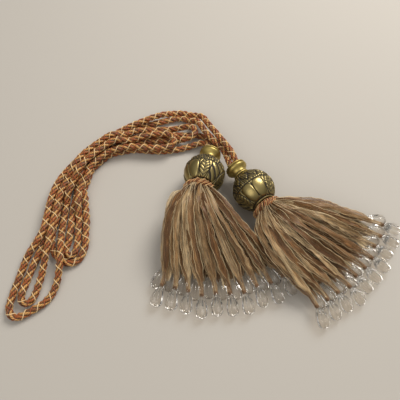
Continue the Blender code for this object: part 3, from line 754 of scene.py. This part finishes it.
def wreath_leaf(turn, latitude):
    """Overlapping curled leaves with long veins, up to the collar: height, hollow."""
    climb = (latitude - WREATH_FROM) / (math.pi / 2 - WREATH_FROM)
    sweep = turn * PANELS * 1.2 + 0.55 * climb
    across = sweep % 1.0 * 2 - 1
    fold = 0.45 * across * (1.0 - 0.4 * climb)
    veins = 0.5 + 0.5 * math.sin(2 * math.pi * (across * 2.2 + 1.3 * climb))
    edge = max(bump_line(1.0 - abs(across), 0.11),
               bump_line(climb - 0.10 - 0.20 * abs(across), 0.045))
    row_edge = bump_line(climb - 0.46 - 0.12 * math.cos(math.pi * across), 0.05)
    cut = max(edge, 0.9 * row_edge)
    return 0.15 + fold * 0.8 + 0.35 * veins - 1.1 * cut, max(cut, 0.95 * (1.0 - veins) ** 1.7)


def relief_at(around, latitude):
    """Height in millimetres and hollow mark, for both angles on the ball."""
    turn = around / (2 * math.pi) % 1.0
    panel = int(turn * PANELS) % PANELS
    across = (turn * PANELS) % 1.0 * 2 - 1
    if latitude > WREATH_FROM:
        height, hollow = wreath_leaf(turn, latitude)
    elif latitude < FOOT_TO:
        ridge = 0.5 + 0.5 * math.sin(latitude * 34.0)
        height, hollow = 0.3 * ridge, 0.8 * (1.0 - ridge)
    else:
        carve = {"leaf": carved_leaf, "ridges": slanting_ridges, "swell": swell}
        height, hollow = carve[PANEL_KINDS[panel]](across, latitude)
    ring = max(bump_line(latitude - WREATH_FROM, 0.030), bump_line(latitude - FOOT_TO, 0.030))
    seam = bump_line(1.0 - abs(across), 0.055) if FOOT_TO < latitude < WREATH_FROM else 0.0
    cut = max(ring, seam)
    return height * (1 - cut) - 0.8 * cut, max(hollow, cut)


# %% The balls
def make_ball(side, facing):
    """facing is the panel that looks towards the front and up, counted in panels."""
    view = HEADS[side].to_3x3().normalized().transposed() @ TO_VIEWER
    turn = 2 * math.pi * facing / PANELS - math.atan2(view.y, view.x)
    bm = bmesh.new()
    bmesh.ops.create_uvsphere(bm, u_segments=300, v_segments=150, radius=BALL_R)
    hollow = bm.verts.layers.float.new("hollow")
    for vert in bm.verts:
        around = math.atan2(vert.co.y, vert.co.x) + turn
        latitude = math.asin(max(-1.0, min(1.0, vert.co.z / BALL_R)))
        height, mark = relief_at(around, latitude)
        vert.co *= (RELIEF_FROM + height) / BALL_R
        vert[hollow] = mark
    bmesh.ops.smooth_vert(bm, verts=bm.verts, factor=0.25, use_axis_x=True, use_axis_y=True,
                          use_axis_z=True)
    bmesh.ops.transform(bm, matrix=HEADS[side], verts=bm.verts)
    for vert in bm.verts:
        vert.co.z = max(vert.co.z, 0.0)
    for face in bm.faces:
        face.smooth = True
    finish_piece("cast_ball_" + side, bm, [BALL_GOLD], ["ball_" + side])


make_ball("left", 3.65)
make_ball("right", 7.05)

# %% [markdown]
# The ruche hides the joint between ball and skirt. It is twisted gimp cord, gathered into small
# loops round a ring. Two cords wound round the same ring, a rust one and a gold one, give its
# loops in turn, and a near-black core behind them keeps the light from shining through and stands
# for the shade inside the loops.

# %% The ruches
RUCHE_RING_R = 13.6
RUCHE_AT = -28.2
RUCHE_TUBE_R = 4.0
RUCHE_TURNS = 25
RUCHE_LEAN = 0.17
GIMP_R = 0.88
GIMP_STEPS = 16
GIMP_LOBES = 2
GIMP_TWIST = 0.75
GIMP_CORDS = ((0, 0.0, 0.95), (1, 0.5, 1.06))
CORE_R = RUCHE_TUBE_R - 0.7
CORE_STEPS = 64
RUCHE_RUST = make_yarn("ruche_rust", (0.070, 0.016, 0.004), (0.50, 0.17, 0.048), 3, 900)
RUCHE_GOLD = make_yarn("ruche_gold", (0.16, 0.060, 0.016), (0.80, 0.46, 0.19), 3, 900)
# near black: painted shade inside the ruche's loops
RUCHE_SHADE_CORE = make_yarn("ruche_shade_core", (0.008, 0.003, 0.001), (0.045, 0.018, 0.007), 30, 300)


def gimp_line(phase, seed, swell_by):
    """One gimp cord wound round the ring, with uneven loops that lean to one side."""
    rng = random.Random(seed)
    sizes = [1.0 + rng.uniform(-0.34, 0.22) for _ in range(RUCHE_TURNS)]
    drifts = [rng.uniform(-0.06, 0.06) for _ in range(RUCHE_TURNS)]
    count = RUCHE_TURNS * GIMP_STEPS
    places = []
    for k in range(count + 1):
        share = k % count / count
        turn = share * RUCHE_TURNS
        here, after = int(turn) % RUCHE_TURNS, (int(turn) + 1) % RUCHE_TURNS
        part = turn % 1.0
        size = (sizes[here] * (1 - part) + sizes[after] * part) * swell_by
        loop = 2 * math.pi * turn
        tilt = loop + 0.6 + 0.5 * math.sin(5.3 * turn)
        around = 2 * math.pi * (share + phase / RUCHE_TURNS) + RUCHE_LEAN * math.sin(tilt)
        around += drifts[here] * (1 - part) + drifts[after] * part
        reach = RUCHE_RING_R + RUCHE_TUBE_R * size * math.cos(loop)
        places.append((reach * math.cos(around), reach * math.sin(around),
                       RUCHE_AT + RUCHE_TUBE_R * size * math.sin(loop)))
    return np.array(places)


def make_ruche(side, seed):
    bm = bmesh.new()
    for slot, phase, swell_by in GIMP_CORDS:
        line = gimp_line(phase, seed + int(phase * 8), swell_by)
        # the gimp's grooves fall within sunk and are marked hollow, where its yarn paints shade
        tube(bm, line, 8, lambda row, angle: GIMP_R * (1 + 0.20 * math.cos(GIMP_LOBES * angle)),
             lambda row: row * GIMP_TWIST, slot, closed=True, sunk=GIMP_R * 0.85)
    core = [(RUCHE_RING_R * math.cos(a), RUCHE_RING_R * math.sin(a), RUCHE_AT)
            for a in (2 * math.pi * k / CORE_STEPS for k in range(CORE_STEPS + 1))]
    tube(bm, np.array(core), 10, lambda row, angle: CORE_R, lambda row: 0.0, 2, closed=True)
    bmesh.ops.transform(bm, matrix=HEADS[side], verts=bm.verts)
    finish_piece("looped_ruche_" + side, bm, [RUCHE_RUST, RUCHE_GOLD, RUCHE_SHADE_CORE],
                 ["ruche_" + side])


make_ruche("left", 11)
make_ruche("right", 43)

# %% [markdown]
# The beads are clear acrylic drops, cut with long facets that carry bright streaks. One drop is
# spun from its profile, every second of its long edges is drawn in, which flutes it, all of them
# are softened with a bevel, and it is copied to each bead's place. The places come from the same
# rows, angles and reaches as the solids, and the drops are a little larger, as in the photograph.

# %% The beads' places
BEAD_R = 6.6
BEAD_LENGTH = 22.0
BEAD_PROFILE = ((0.0, 0.0), (1.9, 0.4), (2.4, 4.0), (4.8, 9.6), (6.6, 15.4), (4.7, 20.2),
                (0.0, 22.0))
BEADS_IN_ROW = 10
BEAD_ROWS = ((18.0, 1.2), (0.0, 6.6))
BEAD_UNEVEN = 1.8


def floor_way(degrees):
    """A level direction, in degrees from -Y towards +X."""
    angle = math.radians(degrees)
    return Vector((math.sin(angle), -math.cos(angle), 0.0))


def bead_axis(way, eye_rise):
    """From the fat end's centre towards the eye."""
    reach = BEAD_LENGTH - BEAD_R
    flat = math.sqrt(reach * reach - eye_rise * eye_rise)
    return (-way * flat + Vector((0, 0, eye_rise))).normalized()


def bead_places(row):
    """Each bead's row, number and eye, its way along the floor and its axis towards the eye."""
    places = []
    span = row["last"] - row["first"]
    near_reach, far_reach = row["reach"]
    for shelf, (setback, eye_rise) in enumerate(BEAD_ROWS):
        tilt = math.asin(eye_rise / (BEAD_LENGTH - BEAD_R))
        lowest = max(r * math.cos(tilt) + (down - BEAD_LENGTH + BEAD_R) * math.sin(tilt)
                     for r, down in BEAD_PROFILE)
        for k in range(BEADS_IN_ROW):
            part = (k + row["shifts"][shelf]) / (BEADS_IN_ROW - 0.5)
            way = floor_way(row["first"] + span * part)
            reach = near_reach + (far_reach - near_reach) * part - setback
            reach += BEAD_UNEVEN * math.sin(2.3 * k + 1.1)
            fat = Vector((*row["ball"], 0.0)) + way * reach
            fat.z = lowest
            axis = bead_axis(way, eye_rise)
            places.append((shelf, k, fat + axis * (BEAD_LENGTH - BEAD_R), way, axis))
    return places


def at_eye(eye, axis):
    """From a small mesh's own axes, in millimetres, to a bead's eye in the frame."""
    turn = axis.to_track_quat("Z", "X").to_matrix().to_4x4()
    return Matrix.Translation(eye * MM) @ turn @ Matrix.Scale(MM, 4)


def stamp(bm, mesh, place):
    """Add a copy of a small mesh, carried to its place."""
    before = len(bm.verts)
    bm.from_mesh(mesh)
    bm.verts.ensure_lookup_table()
    bmesh.ops.transform(bm, matrix=place, verts=bm.verts[before:])


# %% Clear acrylic
def make_acrylic():
    """Clear plastic that lets light through to the floor, as thin clear things do."""
    mat, tree, shader = new_material("clear_acrylic")
    set_inputs(shader, Base_Color=(0.96, 0.93, 0.88), Roughness=0.03, IOR=1.49,
               Transmission_Weight=1.0, Coat_Weight=0.7)
    ray = tree.nodes.new("ShaderNodeLightPath").outputs
    through = math_node(tree, "MAXIMUM", ray["Is Shadow Ray"], ray["Is Diffuse Ray"])
    clear = add_node(tree, "ShaderNodeBsdfTransparent", (0.84, 0.81, 0.77))
    choose = add_node(tree, "ShaderNodeMixShader", through, shader.outputs[0], clear.outputs[0])
    set_inputs(tree.nodes["Material Output"], choose.outputs[0])
    return mat


ACRYLIC = make_acrylic()

# %% The beads
FACETS = 14
FLUTE = 0.90
DROP_SCALE = 1.12
FACET_PROFILE = ((0.0, 0.0), (1.5, 0.15), (2.1, 0.8), (2.8, 3.0), (4.1, 6.0), (5.4, 9.0),
                 (6.25, 12.0), (6.6, 14.6), (6.4, 17.0), (5.4, 19.3), (3.5, 21.1), (1.5, 21.85),
                 (0.0, 22.0))


def drop_mesh():
    """One cut drop with its eye at the origin and its fat end along -Z, in millimetres."""
    bm = bmesh.new()
    lathe(bm, [(r, -down) for r, down in FACET_PROFILE], FACETS)
    for vert in bm.verts:
        step = round(math.atan2(vert.co.y, vert.co.x) / (2 * math.pi) * FACETS)
        if step % 2:
            vert.co.xy *= FLUTE
    rims = [edge for edge in bm.edges if not edge.is_boundary
            and abs(edge.verts[0].co.z - edge.verts[1].co.z) > 0.3]
    for face in bm.faces:
        face.smooth = False
    rounded = bmesh.ops.bevel(bm, geom=rims, affect="EDGES", offset=0.45, segments=2,
                              profile=0.5, material=-1)
    for face in rounded["faces"]:
        face.smooth = True
    bmesh.ops.recalc_face_normals(bm, faces=bm.faces)
    return to_mesh(bm, "drop")


DROP = drop_mesh()


def make_beads(side):
    bm = bmesh.new()
    for shelf, k, eye, _, axis in bead_places(TASSELS[side]):
        roll = Matrix.Rotation(0.9 * k + 0.4 * shelf, 4, "Z")
        ground = Matrix.Translation(Vector((eye.x, eye.y, 0.0)) * MM)
        grow = ground @ Matrix.Scale(DROP_SCALE, 4) @ ground.inverted()
        stamp(bm, DROP, grow @ at_eye(eye, axis) @ roll)
    for vert in bm.verts:
        vert.co.z = max(vert.co.z, 0.0)
    nodes = ["bead_{}_{}_{:02d}".format(side, shelf, k)
             for shelf in ("near", "far") for k in range(BEADS_IN_ROW)]
    finish_piece("clear_drops_" + side, bm, [ACRYLIC], nodes)


for side in TASSELS:
    make_beads(side)

# %% [markdown]
# The skirt is sheer ribbon with woven golden edges, gathered under the ruche, crumpled
# lengthwise and tied to the drops. The edges' gold is partly the woven edge and partly a painted
# glint, and the crumples carry painted light and shade. Each ribbon is a grid that is laid along a
# curve from its root to its drop, narrow where it is gathered and wide in the middle, then given
# the thickness of cloth. It curls at its edges, rolls a little and wrinkles, so no two look alike.


# %% Sheer ribbon
def make_organza():
    """Sheer cloth on its own UV map: U across the ribbon, V along it in metres."""
    mat, tree, shader = new_material("sheer_organza")
    uv = tree.nodes.new("ShaderNodeUVMap").outputs[0]
    across, along, _ = add_node(tree, "ShaderNodeSeparateXYZ", uv).outputs
    tone = stored_value(tree, "tone")

    def streaks(rate_across, rate_along, shift, detail):
        spot = add_node(tree, "ShaderNodeCombineXYZ",
                        math_node(tree, "MULTIPLY", across, rate_across),
                        math_node(tree, "MULTIPLY", along, rate_along),
                        math_node(tree, "MULTIPLY_ADD", tone, 40.0, shift))
        return noise(tree, spot.outputs[0], 1.0, detail)

    fibres = streaks(6.5, 85.0, 0.0, 2.5)
    patches = streaks(2.0, 26.0, 9.0, 2.0)
    edge = math_node(tree, "ABSOLUTE", math_node(tree, "SUBTRACT", across, 0.5))
    # the golden edge band is partly the woven selvage and partly a painted glint along the edges
    selvage_and_glint = rise(tree, edge, 0.43, 0.48, 0.8)
    weight = math_node(tree, "MULTIPLY_ADD", tone, 0.62, -0.20)
    weight = math_node(tree, "MULTIPLY_ADD", patches, 0.80, weight)
    body = ramp(tree, weight, ((0.05, (0.098, 0.042, 0.012)), (0.38, (0.215, 0.104, 0.036)),
                               (0.66, (0.365, 0.225, 0.102)), (0.95, (0.78, 0.61, 0.36))))
    # painted light and shade of the crumples: the cloth brightens and darkens along the same
    # streaky noise as the bump
    crumple_light_and_shade = ramp(tree, fibres, ((0.30, (0.70, 0.65, 0.60)), (0.50, (1.0, 1.0, 1.0)),
                                (0.70, (1.44, 1.40, 1.32))))
    body = mix_colour(tree, 1.0, body, crumple_light_and_shade, "MULTIPLY")
    veil = math_node(tree, "MULTIPLY_ADD", fibres, 0.70, 0.24)
    veil = math_node(tree, "MULTIPLY_ADD", tone, -0.12, veil)
    veil = math_node(tree, "MULTIPLY_ADD", selvage_and_glint, 0.25, veil, clamp=True)
    set_inputs(shader, Base_Color=mix_colour(tree, selvage_and_glint, body, (0.86, 0.69, 0.41)), Alpha=veil,
               Roughness=0.45, Specular_IOR_Level=0.35, Sheen_Weight=0.15,
               Normal=bump(tree, fibres, 0.4, 0.0009))
    return mat


ORGANZA = make_organza()

# %% The ribbons' lines
ROOT_R = 15.6
ROOT_AT = 30.0
ROOT_EDGE = 0.6
LEVELS = (-0.80, -0.30, 0.30, 0.80)
TIER_HEIGHTS = (-26.0, -22.8, 16.6, 19.8)
TIER_FLOORS = (0.6, 2.3, 3.9, 5.5)
TIER_LIFT = 0.15
RIBBON_EASE = (0.38, 0.28)
SECTIONS = 46
ACROSS = 6
RIBBON_THICK = 0.14
RIBBON_LIFT = 0.15
SWING = 2.6
# shares of a ribbon's full width at its root, at its tip and where it is drawn together
ROOT_SHARE, TIP_SHARE, GATHER_SHARE = 0.72, 0.24, 0.22
# the crumpling waves: how many, and the ranges of their rates, of their slant and of their sizes
CRUMPLES = ((3, (12.0, 34.0), 4.0, (0.15, 0.42)), (4, (40.0, 85.0), 7.0, (0.10, 0.26)))
ANY_TURN = 6.3


def ribbon_line(root, out, tip, arrive, low, handle, rng):
    """A ribbon's middle line: out of the head, down to lie level, then into its bead's eye."""
    lead = (tip - root).length
    first = root + out * lead * RIBBON_EASE[0] * rng.uniform(0.92, 1.08)
    last = tip + arrive * lead * RIBBON_EASE[1]
    last.z = handle
    line = interpolate_bezier(root, first, last, tip, SECTIONS + 1)
    beside = Vector((-(tip - root).y, (tip - root).x, 0.0)).normalized()
    swing, bob = rng.uniform(-SWING, SWING), rng.uniform(-0.8, 1.4)
    turns, start = rng.uniform(3.0, 7.5), rng.uniform(0.0, ANY_TURN)
    for k, place in enumerate(line[1:-1], 1):
        share = k / SECTIONS
        free = math.sin(math.pi * share)
        place += beside * swing * free * math.sin(start + turns * share)
        place.z = max(place.z, low) + bob * free * math.sin(1.7 * start + turns * share)
    return line


def ribbon_width(share, wide, waist, waist_at, taper, gather):
    """Narrow at the root, wide in the middle, gathered at a waist and into the bead's eye."""
    opening = min(1.0, ROOT_SHARE + share * 2.4)
    closing = min(1.0, TIP_SHARE + (1.0 - share) * taper)
    if gather:
        before = min(1.0, max(0.0, (gather - share) / 0.13))
        closing = min(closing, GATHER_SHARE + (1.0 - GATHER_SHARE) * before)
    return wide * opening * closing * (1.0 - waist * math.exp(-((share - waist_at) / 0.07) ** 2))


def add_ribbon(bm, line, pleat_way, wide, tone_value, rng, gather):
    """Lay one grid along a line: curled at its edges, rolled and crumpled.

    gather is the share of its length by which it has drawn together, or 0."""
    uv = bm.loops.layers.uv.verify()
    tone = bm.verts.layers.float.get("tone") or bm.verts.layers.float.new("tone")
    made = bmesh.ops.create_grid(bm, x_segments=ACROSS, y_segments=SECTIONS, size=1.0,
                                 calc_uvs=True)["verts"]
    roll_by, roll_at = rng.uniform(-1.0, 1.0), rng.uniform(0, ANY_TURN)
    roll_rate = rng.uniform(3, 8)
    curl = rng.uniform(-0.30, 0.36)
    waist, waist_at = rng.uniform(0.0, 0.5), rng.uniform(0.25, 0.8)
    taper = rng.uniform(2.6, 9.0)
    waves = [(rng.uniform(*rates), rng.uniform(0.0, ANY_TURN), rng.uniform(-slant, slant),
              rng.uniform(*sizes)) for count, rates, slant, sizes in CRUMPLES for _ in range(count)]
    length = sum((b - a).length for a, b in zip(line, line[1:]))
    for index, vert in enumerate(made):
        row, column = divmod(index, ACROSS + 1)
        share = row / SECTIONS
        across = column / ACROSS * 2 - 1
        along = (line[min(row + 1, SECTIONS)] - line[max(row - 1, 0)]).normalized()
        flat_way = Vector((along.y, -along.x, 0.0)).normalized()
        if flat_way.dot(pleat_way.cross(along)) < 0:
            flat_way = -flat_way
        side = pleat_way.lerp(flat_way, min(1.0, share * 4.5))
        side = (side - along * side.dot(along)).normalized()
        free = min(1.0, 1.6 * math.sin(math.pi * share))
        roll = roll_by * free * math.sin(roll_at + roll_rate * share)
        normal = along.cross(side)
        side, normal = (side * math.cos(roll) + normal * math.sin(roll),
                        normal * math.cos(roll) - side * math.sin(roll))
        width = ribbon_width(share, wide, waist, waist_at, taper, gather)
        crumple = sum(size * math.sin(rate * share + start + skew * across)
                      for rate, start, skew, size in waves)
        lift = curl * width * (across * across - 0.33) + crumple * free
        fray = 0.35 * math.sin(waves[0][0] * 2.3 * share + across) * free
        place = line[row] + side * (across * (width / 2 + fray)) + normal * lift
        place.z = max(place.z, RIBBON_LIFT + 0.1 * (1 + across))
        vert.co = place * MM
        vert[tone] = tone_value
    for face in {face for vert in made for face in vert.link_faces}:
        face.smooth = True
        for loop in face.loops:
            loop[uv].uv = (loop[uv].uv.x, loop[uv].uv.y * length * MM)
    return length


# %% The skirts
STRANDS_PER_BEAD = 3
STRAND_WIDTHS = (6.0, 10.0)
TIP_PAIR = 3.0
TIP_LIFT, MIDDLE_LIFT = 1.2, 1.8
NECK_COVER = 1.0
GATHER_AT = 0.87
FILLERS = 68
FILLER_SETBACK = 6.0
FILLER_WIDTHS = (5.0, 9.0)
SLIVER_WIDTHS = (1.2, 2.8)
SLIVER_TONE = 1.25
BULGE_WIDTHS = (7.0, 10.0)
# how far the ribbons lean out at either edge, and loose ribbons past the fan's edges: the share of
# the root's width, the lean, the direction in degrees and the reach
SPREAD = {"left": (1.0, 1.2), "right": (1.2, 1.5)}
BULGES = {"left": ((-1.0, 1.3, -20.0, 128.0), (-0.9, 1.2, -18.5, 134.0), (-0.97, 1.4, -17.5, 112.0),
                   (-0.8, 1.2, -15.0, 126.0), (0.95, 1.2, 33.0, 126.0)),
          "right": ((0.97, 1.6, 76.0, 128.0), (0.9, 1.5, 73.0, 132.0), (-0.95, 1.3, 26.0, 124.0))}


def make_skirt(side, seed):
    row = TASSELS[side]
    rng = random.Random(seed)
    matrix = HEADS[side]
    centre = matrix @ Vector((0, 0, -ROOT_AT)) / MM
    out = (matrix.to_3x3() @ Vector((0, 0, -1))).normalized()
    across_way = Vector((-out.y, out.x, 0.0)).normalized()
    upward = across_way.cross(-out)
    if upward.z < 0:
        upward = -upward

    def lay(part, level, tip, arrive, low, handle, wide, tone_value, flare=None, gather=0.0):
        height = level * ROOT_R
        half = math.sqrt((ROOT_R - ROOT_EDGE) ** 2 - height ** 2)
        root = centre + across_way * part * half + upward * height
        flare = SPREAD[side][0 if part < 0 else 1] if flare is None else flare
        spread = out + across_way * flare * part + upward * level * TIER_LIFT
        line = ribbon_line(root, spread.normalized(), tip, arrive, low, handle, rng)
        lengths.append(add_ribbon(bm, line, upward, wide, tone_value, rng, gather))

    bm = bmesh.new()
    lengths = []
    for shelf, k, eye, way, arrive in bead_places(row):
        beside = Vector((-way.y, way.x, 0.0))
        for strand in range(STRANDS_PER_BEAD):
            spot = strand / (STRANDS_PER_BEAD - 1)
            part = (k + 0.5 + 0.5 * (spot - 0.5)) / BEADS_IN_ROW * 2 - 1
            tier = shelf * 2 + spot
            base = int(tier) if tier < 3 else 2
            mix = tier - base
            level = LEVELS[base] * (1 - mix) + LEVELS[base + 1] * mix
            low = TIER_FLOORS[base] * (1 - mix) + TIER_FLOORS[base + 1] * mix
            handle = TIER_HEIGHTS[int(tier)] + 3.2 * (tier - int(tier))
            tip = eye + beside * (spot - 0.5) * TIP_PAIR - arrive * NECK_COVER
            tip.z += TIP_LIFT if spot != 0.5 else MIDDLE_LIFT
            lay(part, level, tip, arrive, low, handle, rng.uniform(*STRAND_WIDTHS), rng.random(),
                gather=GATHER_AT if shelf else 0.0)
    for k in range(FILLERS):
        share = (k + 0.5) / FILLERS
        way = floor_way(row["first"] + (row["last"] - row["first"]) * share)
        reach = row["reach"][0] + (row["reach"][1] - row["reach"][0]) * share
        reach -= BEAD_LENGTH + FILLER_SETBACK + rng.uniform(-10.0, 9.0)
        tip = Vector((*row["ball"], 0.0)) + way * reach
        tip.z = 10.0 + rng.uniform(-2.0, 5.0)
        slim = k % 5 in (1, 3)
        part = max(-1.0, min(1.0, share * 2 - 1 + rng.uniform(-0.3, 0.3)))
        if slim:
            level, wide, tone = rng.uniform(-0.1, 0.6), rng.uniform(*SLIVER_WIDTHS), SLIVER_TONE
        else:
            level, wide, tone = rng.uniform(-0.2, 0.85), rng.uniform(*FILLER_WIDTHS), rng.random()
        lay(part, level, tip, bead_axis(way, 5.0), 6.0, rng.uniform(12.0, 21.0), wide, tone)
    for part, flare, degrees, reach in BULGES[side]:
        way = floor_way(degrees)
        tip = Vector((*row["ball"], 0.0)) + way * reach
        tip.z = rng.uniform(3.0, 8.0)
        lay(part, rng.uniform(0.0, 0.5), tip, bead_axis(way, 4.0), 3.0, rng.uniform(6.0, 12.0),
            rng.uniform(*BULGE_WIDTHS), 1.0, flare)
    skirt = finish_piece("ribbon_skirt_" + side, bm, [ORGANZA], ["skirt_" + side],
                         outward=False)
    cloth = skirt.modifiers.new("cloth thickness", "SOLIDIFY")
    cloth.thickness = RIBBON_THICK * MM
    cloth.offset = 0.0
    print(len(lengths), "ribbons of", round(min(lengths)), "to", round(max(lengths)), "mm")


make_skirt("left", 5)
make_skirt("right", 8)

# %% [markdown]
# Under the ruche the ribbons are bound into one round head, and each drop hangs from a few turns
# of thread, in the binding's dark brown cloth. Both are small, but they hold the skirt together
# where the ribbons begin and end.

# %% Bindings and knots
BINDING_PROFILE = ((0.0, -26.2), (6.0, -26.6), (9.0, -27.6), (10.4, -30.0), (10.2, -33.0),
                   (8.6, -36.5), (6.4, -40.0), (4.0, -43.0), (0.0, -44.5))
KNOT_PROFILE = ((1.5, 2.4), (2.1, 2.1), (1.75, 1.6), (2.25, 1.2), (1.8, 0.7), (2.3, 0.3),
                (1.9, -0.2), (2.4, -0.7), (2.1, -1.2), (1.5, -1.5))
BINDING_STEPS = 48
KNOT_STEPS = 10
BOUND_CLOTH = make_yarn("bound_cloth", (0.05, 0.022, 0.008), (0.24, 0.13, 0.06), 60, 40)


def make_binding(side):
    bm = bmesh.new()
    lathe(bm, BINDING_PROFILE, BINDING_STEPS)
    bmesh.ops.transform(bm, matrix=HEADS[side], verts=bm.verts)
    finish_piece("skirt_binding_" + side, bm, [BOUND_CLOTH], [])


def make_knots(side):
    shape = bmesh.new()
    lathe(shape, KNOT_PROFILE, KNOT_STEPS)
    bmesh.ops.holes_fill(shape, edges=[e for e in shape.edges if e.is_boundary], sides=0)
    knot = to_mesh(shape, "knot")
    bm = bmesh.new()
    for _, _, eye, _, axis in bead_places(TASSELS[side]):
        stamp(bm, knot, at_eye(eye, axis))
    finish_piece("thread_knots_" + side, bm, [BOUND_CLOTH], [])


for side in TASSELS:
    make_binding(side)
for side in TASSELS:
    make_knots(side)

# %% [markdown]
# The floor is plain and pale. A wide soft lamp stands behind on the right, where the photograph's
# light comes from, and a weak one in front keeps the shadows open.

# %% Floor
FLOOR_Z = -0.0002
floor_mesh = bmesh.new()
bmesh.ops.create_grid(floor_mesh, x_segments=4, y_segments=4, size=2.5)
bmesh.ops.translate(floor_mesh, vec=(0, 0, FLOOR_Z), verts=floor_mesh.verts)
floor = add_object("floor", to_mesh(floor_mesh, "floor"))
floor_paint, _, floor_shader = new_material("pale_floor")
set_inputs(floor_shader, Base_Color=(0.50, 0.465, 0.415), Roughness=0.9)
floor.data.materials.append(floor_paint)


# %% Lamps
def add_lamp(name, place, aim, size, power, colour):
    lamp = bpy.data.lights.new(name, "AREA")
    lamp.shape = "DISK"
    lamp.size = size
    lamp.energy = power
    lamp.color = colour
    stand = add_object(name, lamp)
    stand.location = place
    stand.rotation_euler = (Vector(aim) - Vector(place)).to_track_quat("-Z", "Y").to_euler()


add_lamp("window", (0.75, 0.95, 1.25), (0.02, -0.02, 0.0), 0.95, 27.0, (1.0, 0.975, 0.94))
add_lamp("front fill", (-0.6, -1.0, 1.2), (0.0, -0.04, 0.0), 1.2, 5.0, (1.0, 0.97, 0.93))
world = bpy.data.worlds.new("soft room")
world.use_nodes = True
sky = world.node_tree
way_up = sky.nodes.new("ShaderNodeTexCoord").outputs["Generated"]
height = add_node(sky, "ShaderNodeSeparateXYZ", way_up).outputs[2]
soft_sky = ramp(sky, height, ((0.02, (0.10, 0.095, 0.085)), (0.45, (0.46, 0.45, 0.43)),
                              (0.95, (1.0, 0.98, 0.95))))
set_inputs(sky.nodes["Background"], soft_sky, 0.62)
bpy.context.scene.world = world
bpy.context.scene.view_settings.view_transform = "Standard"
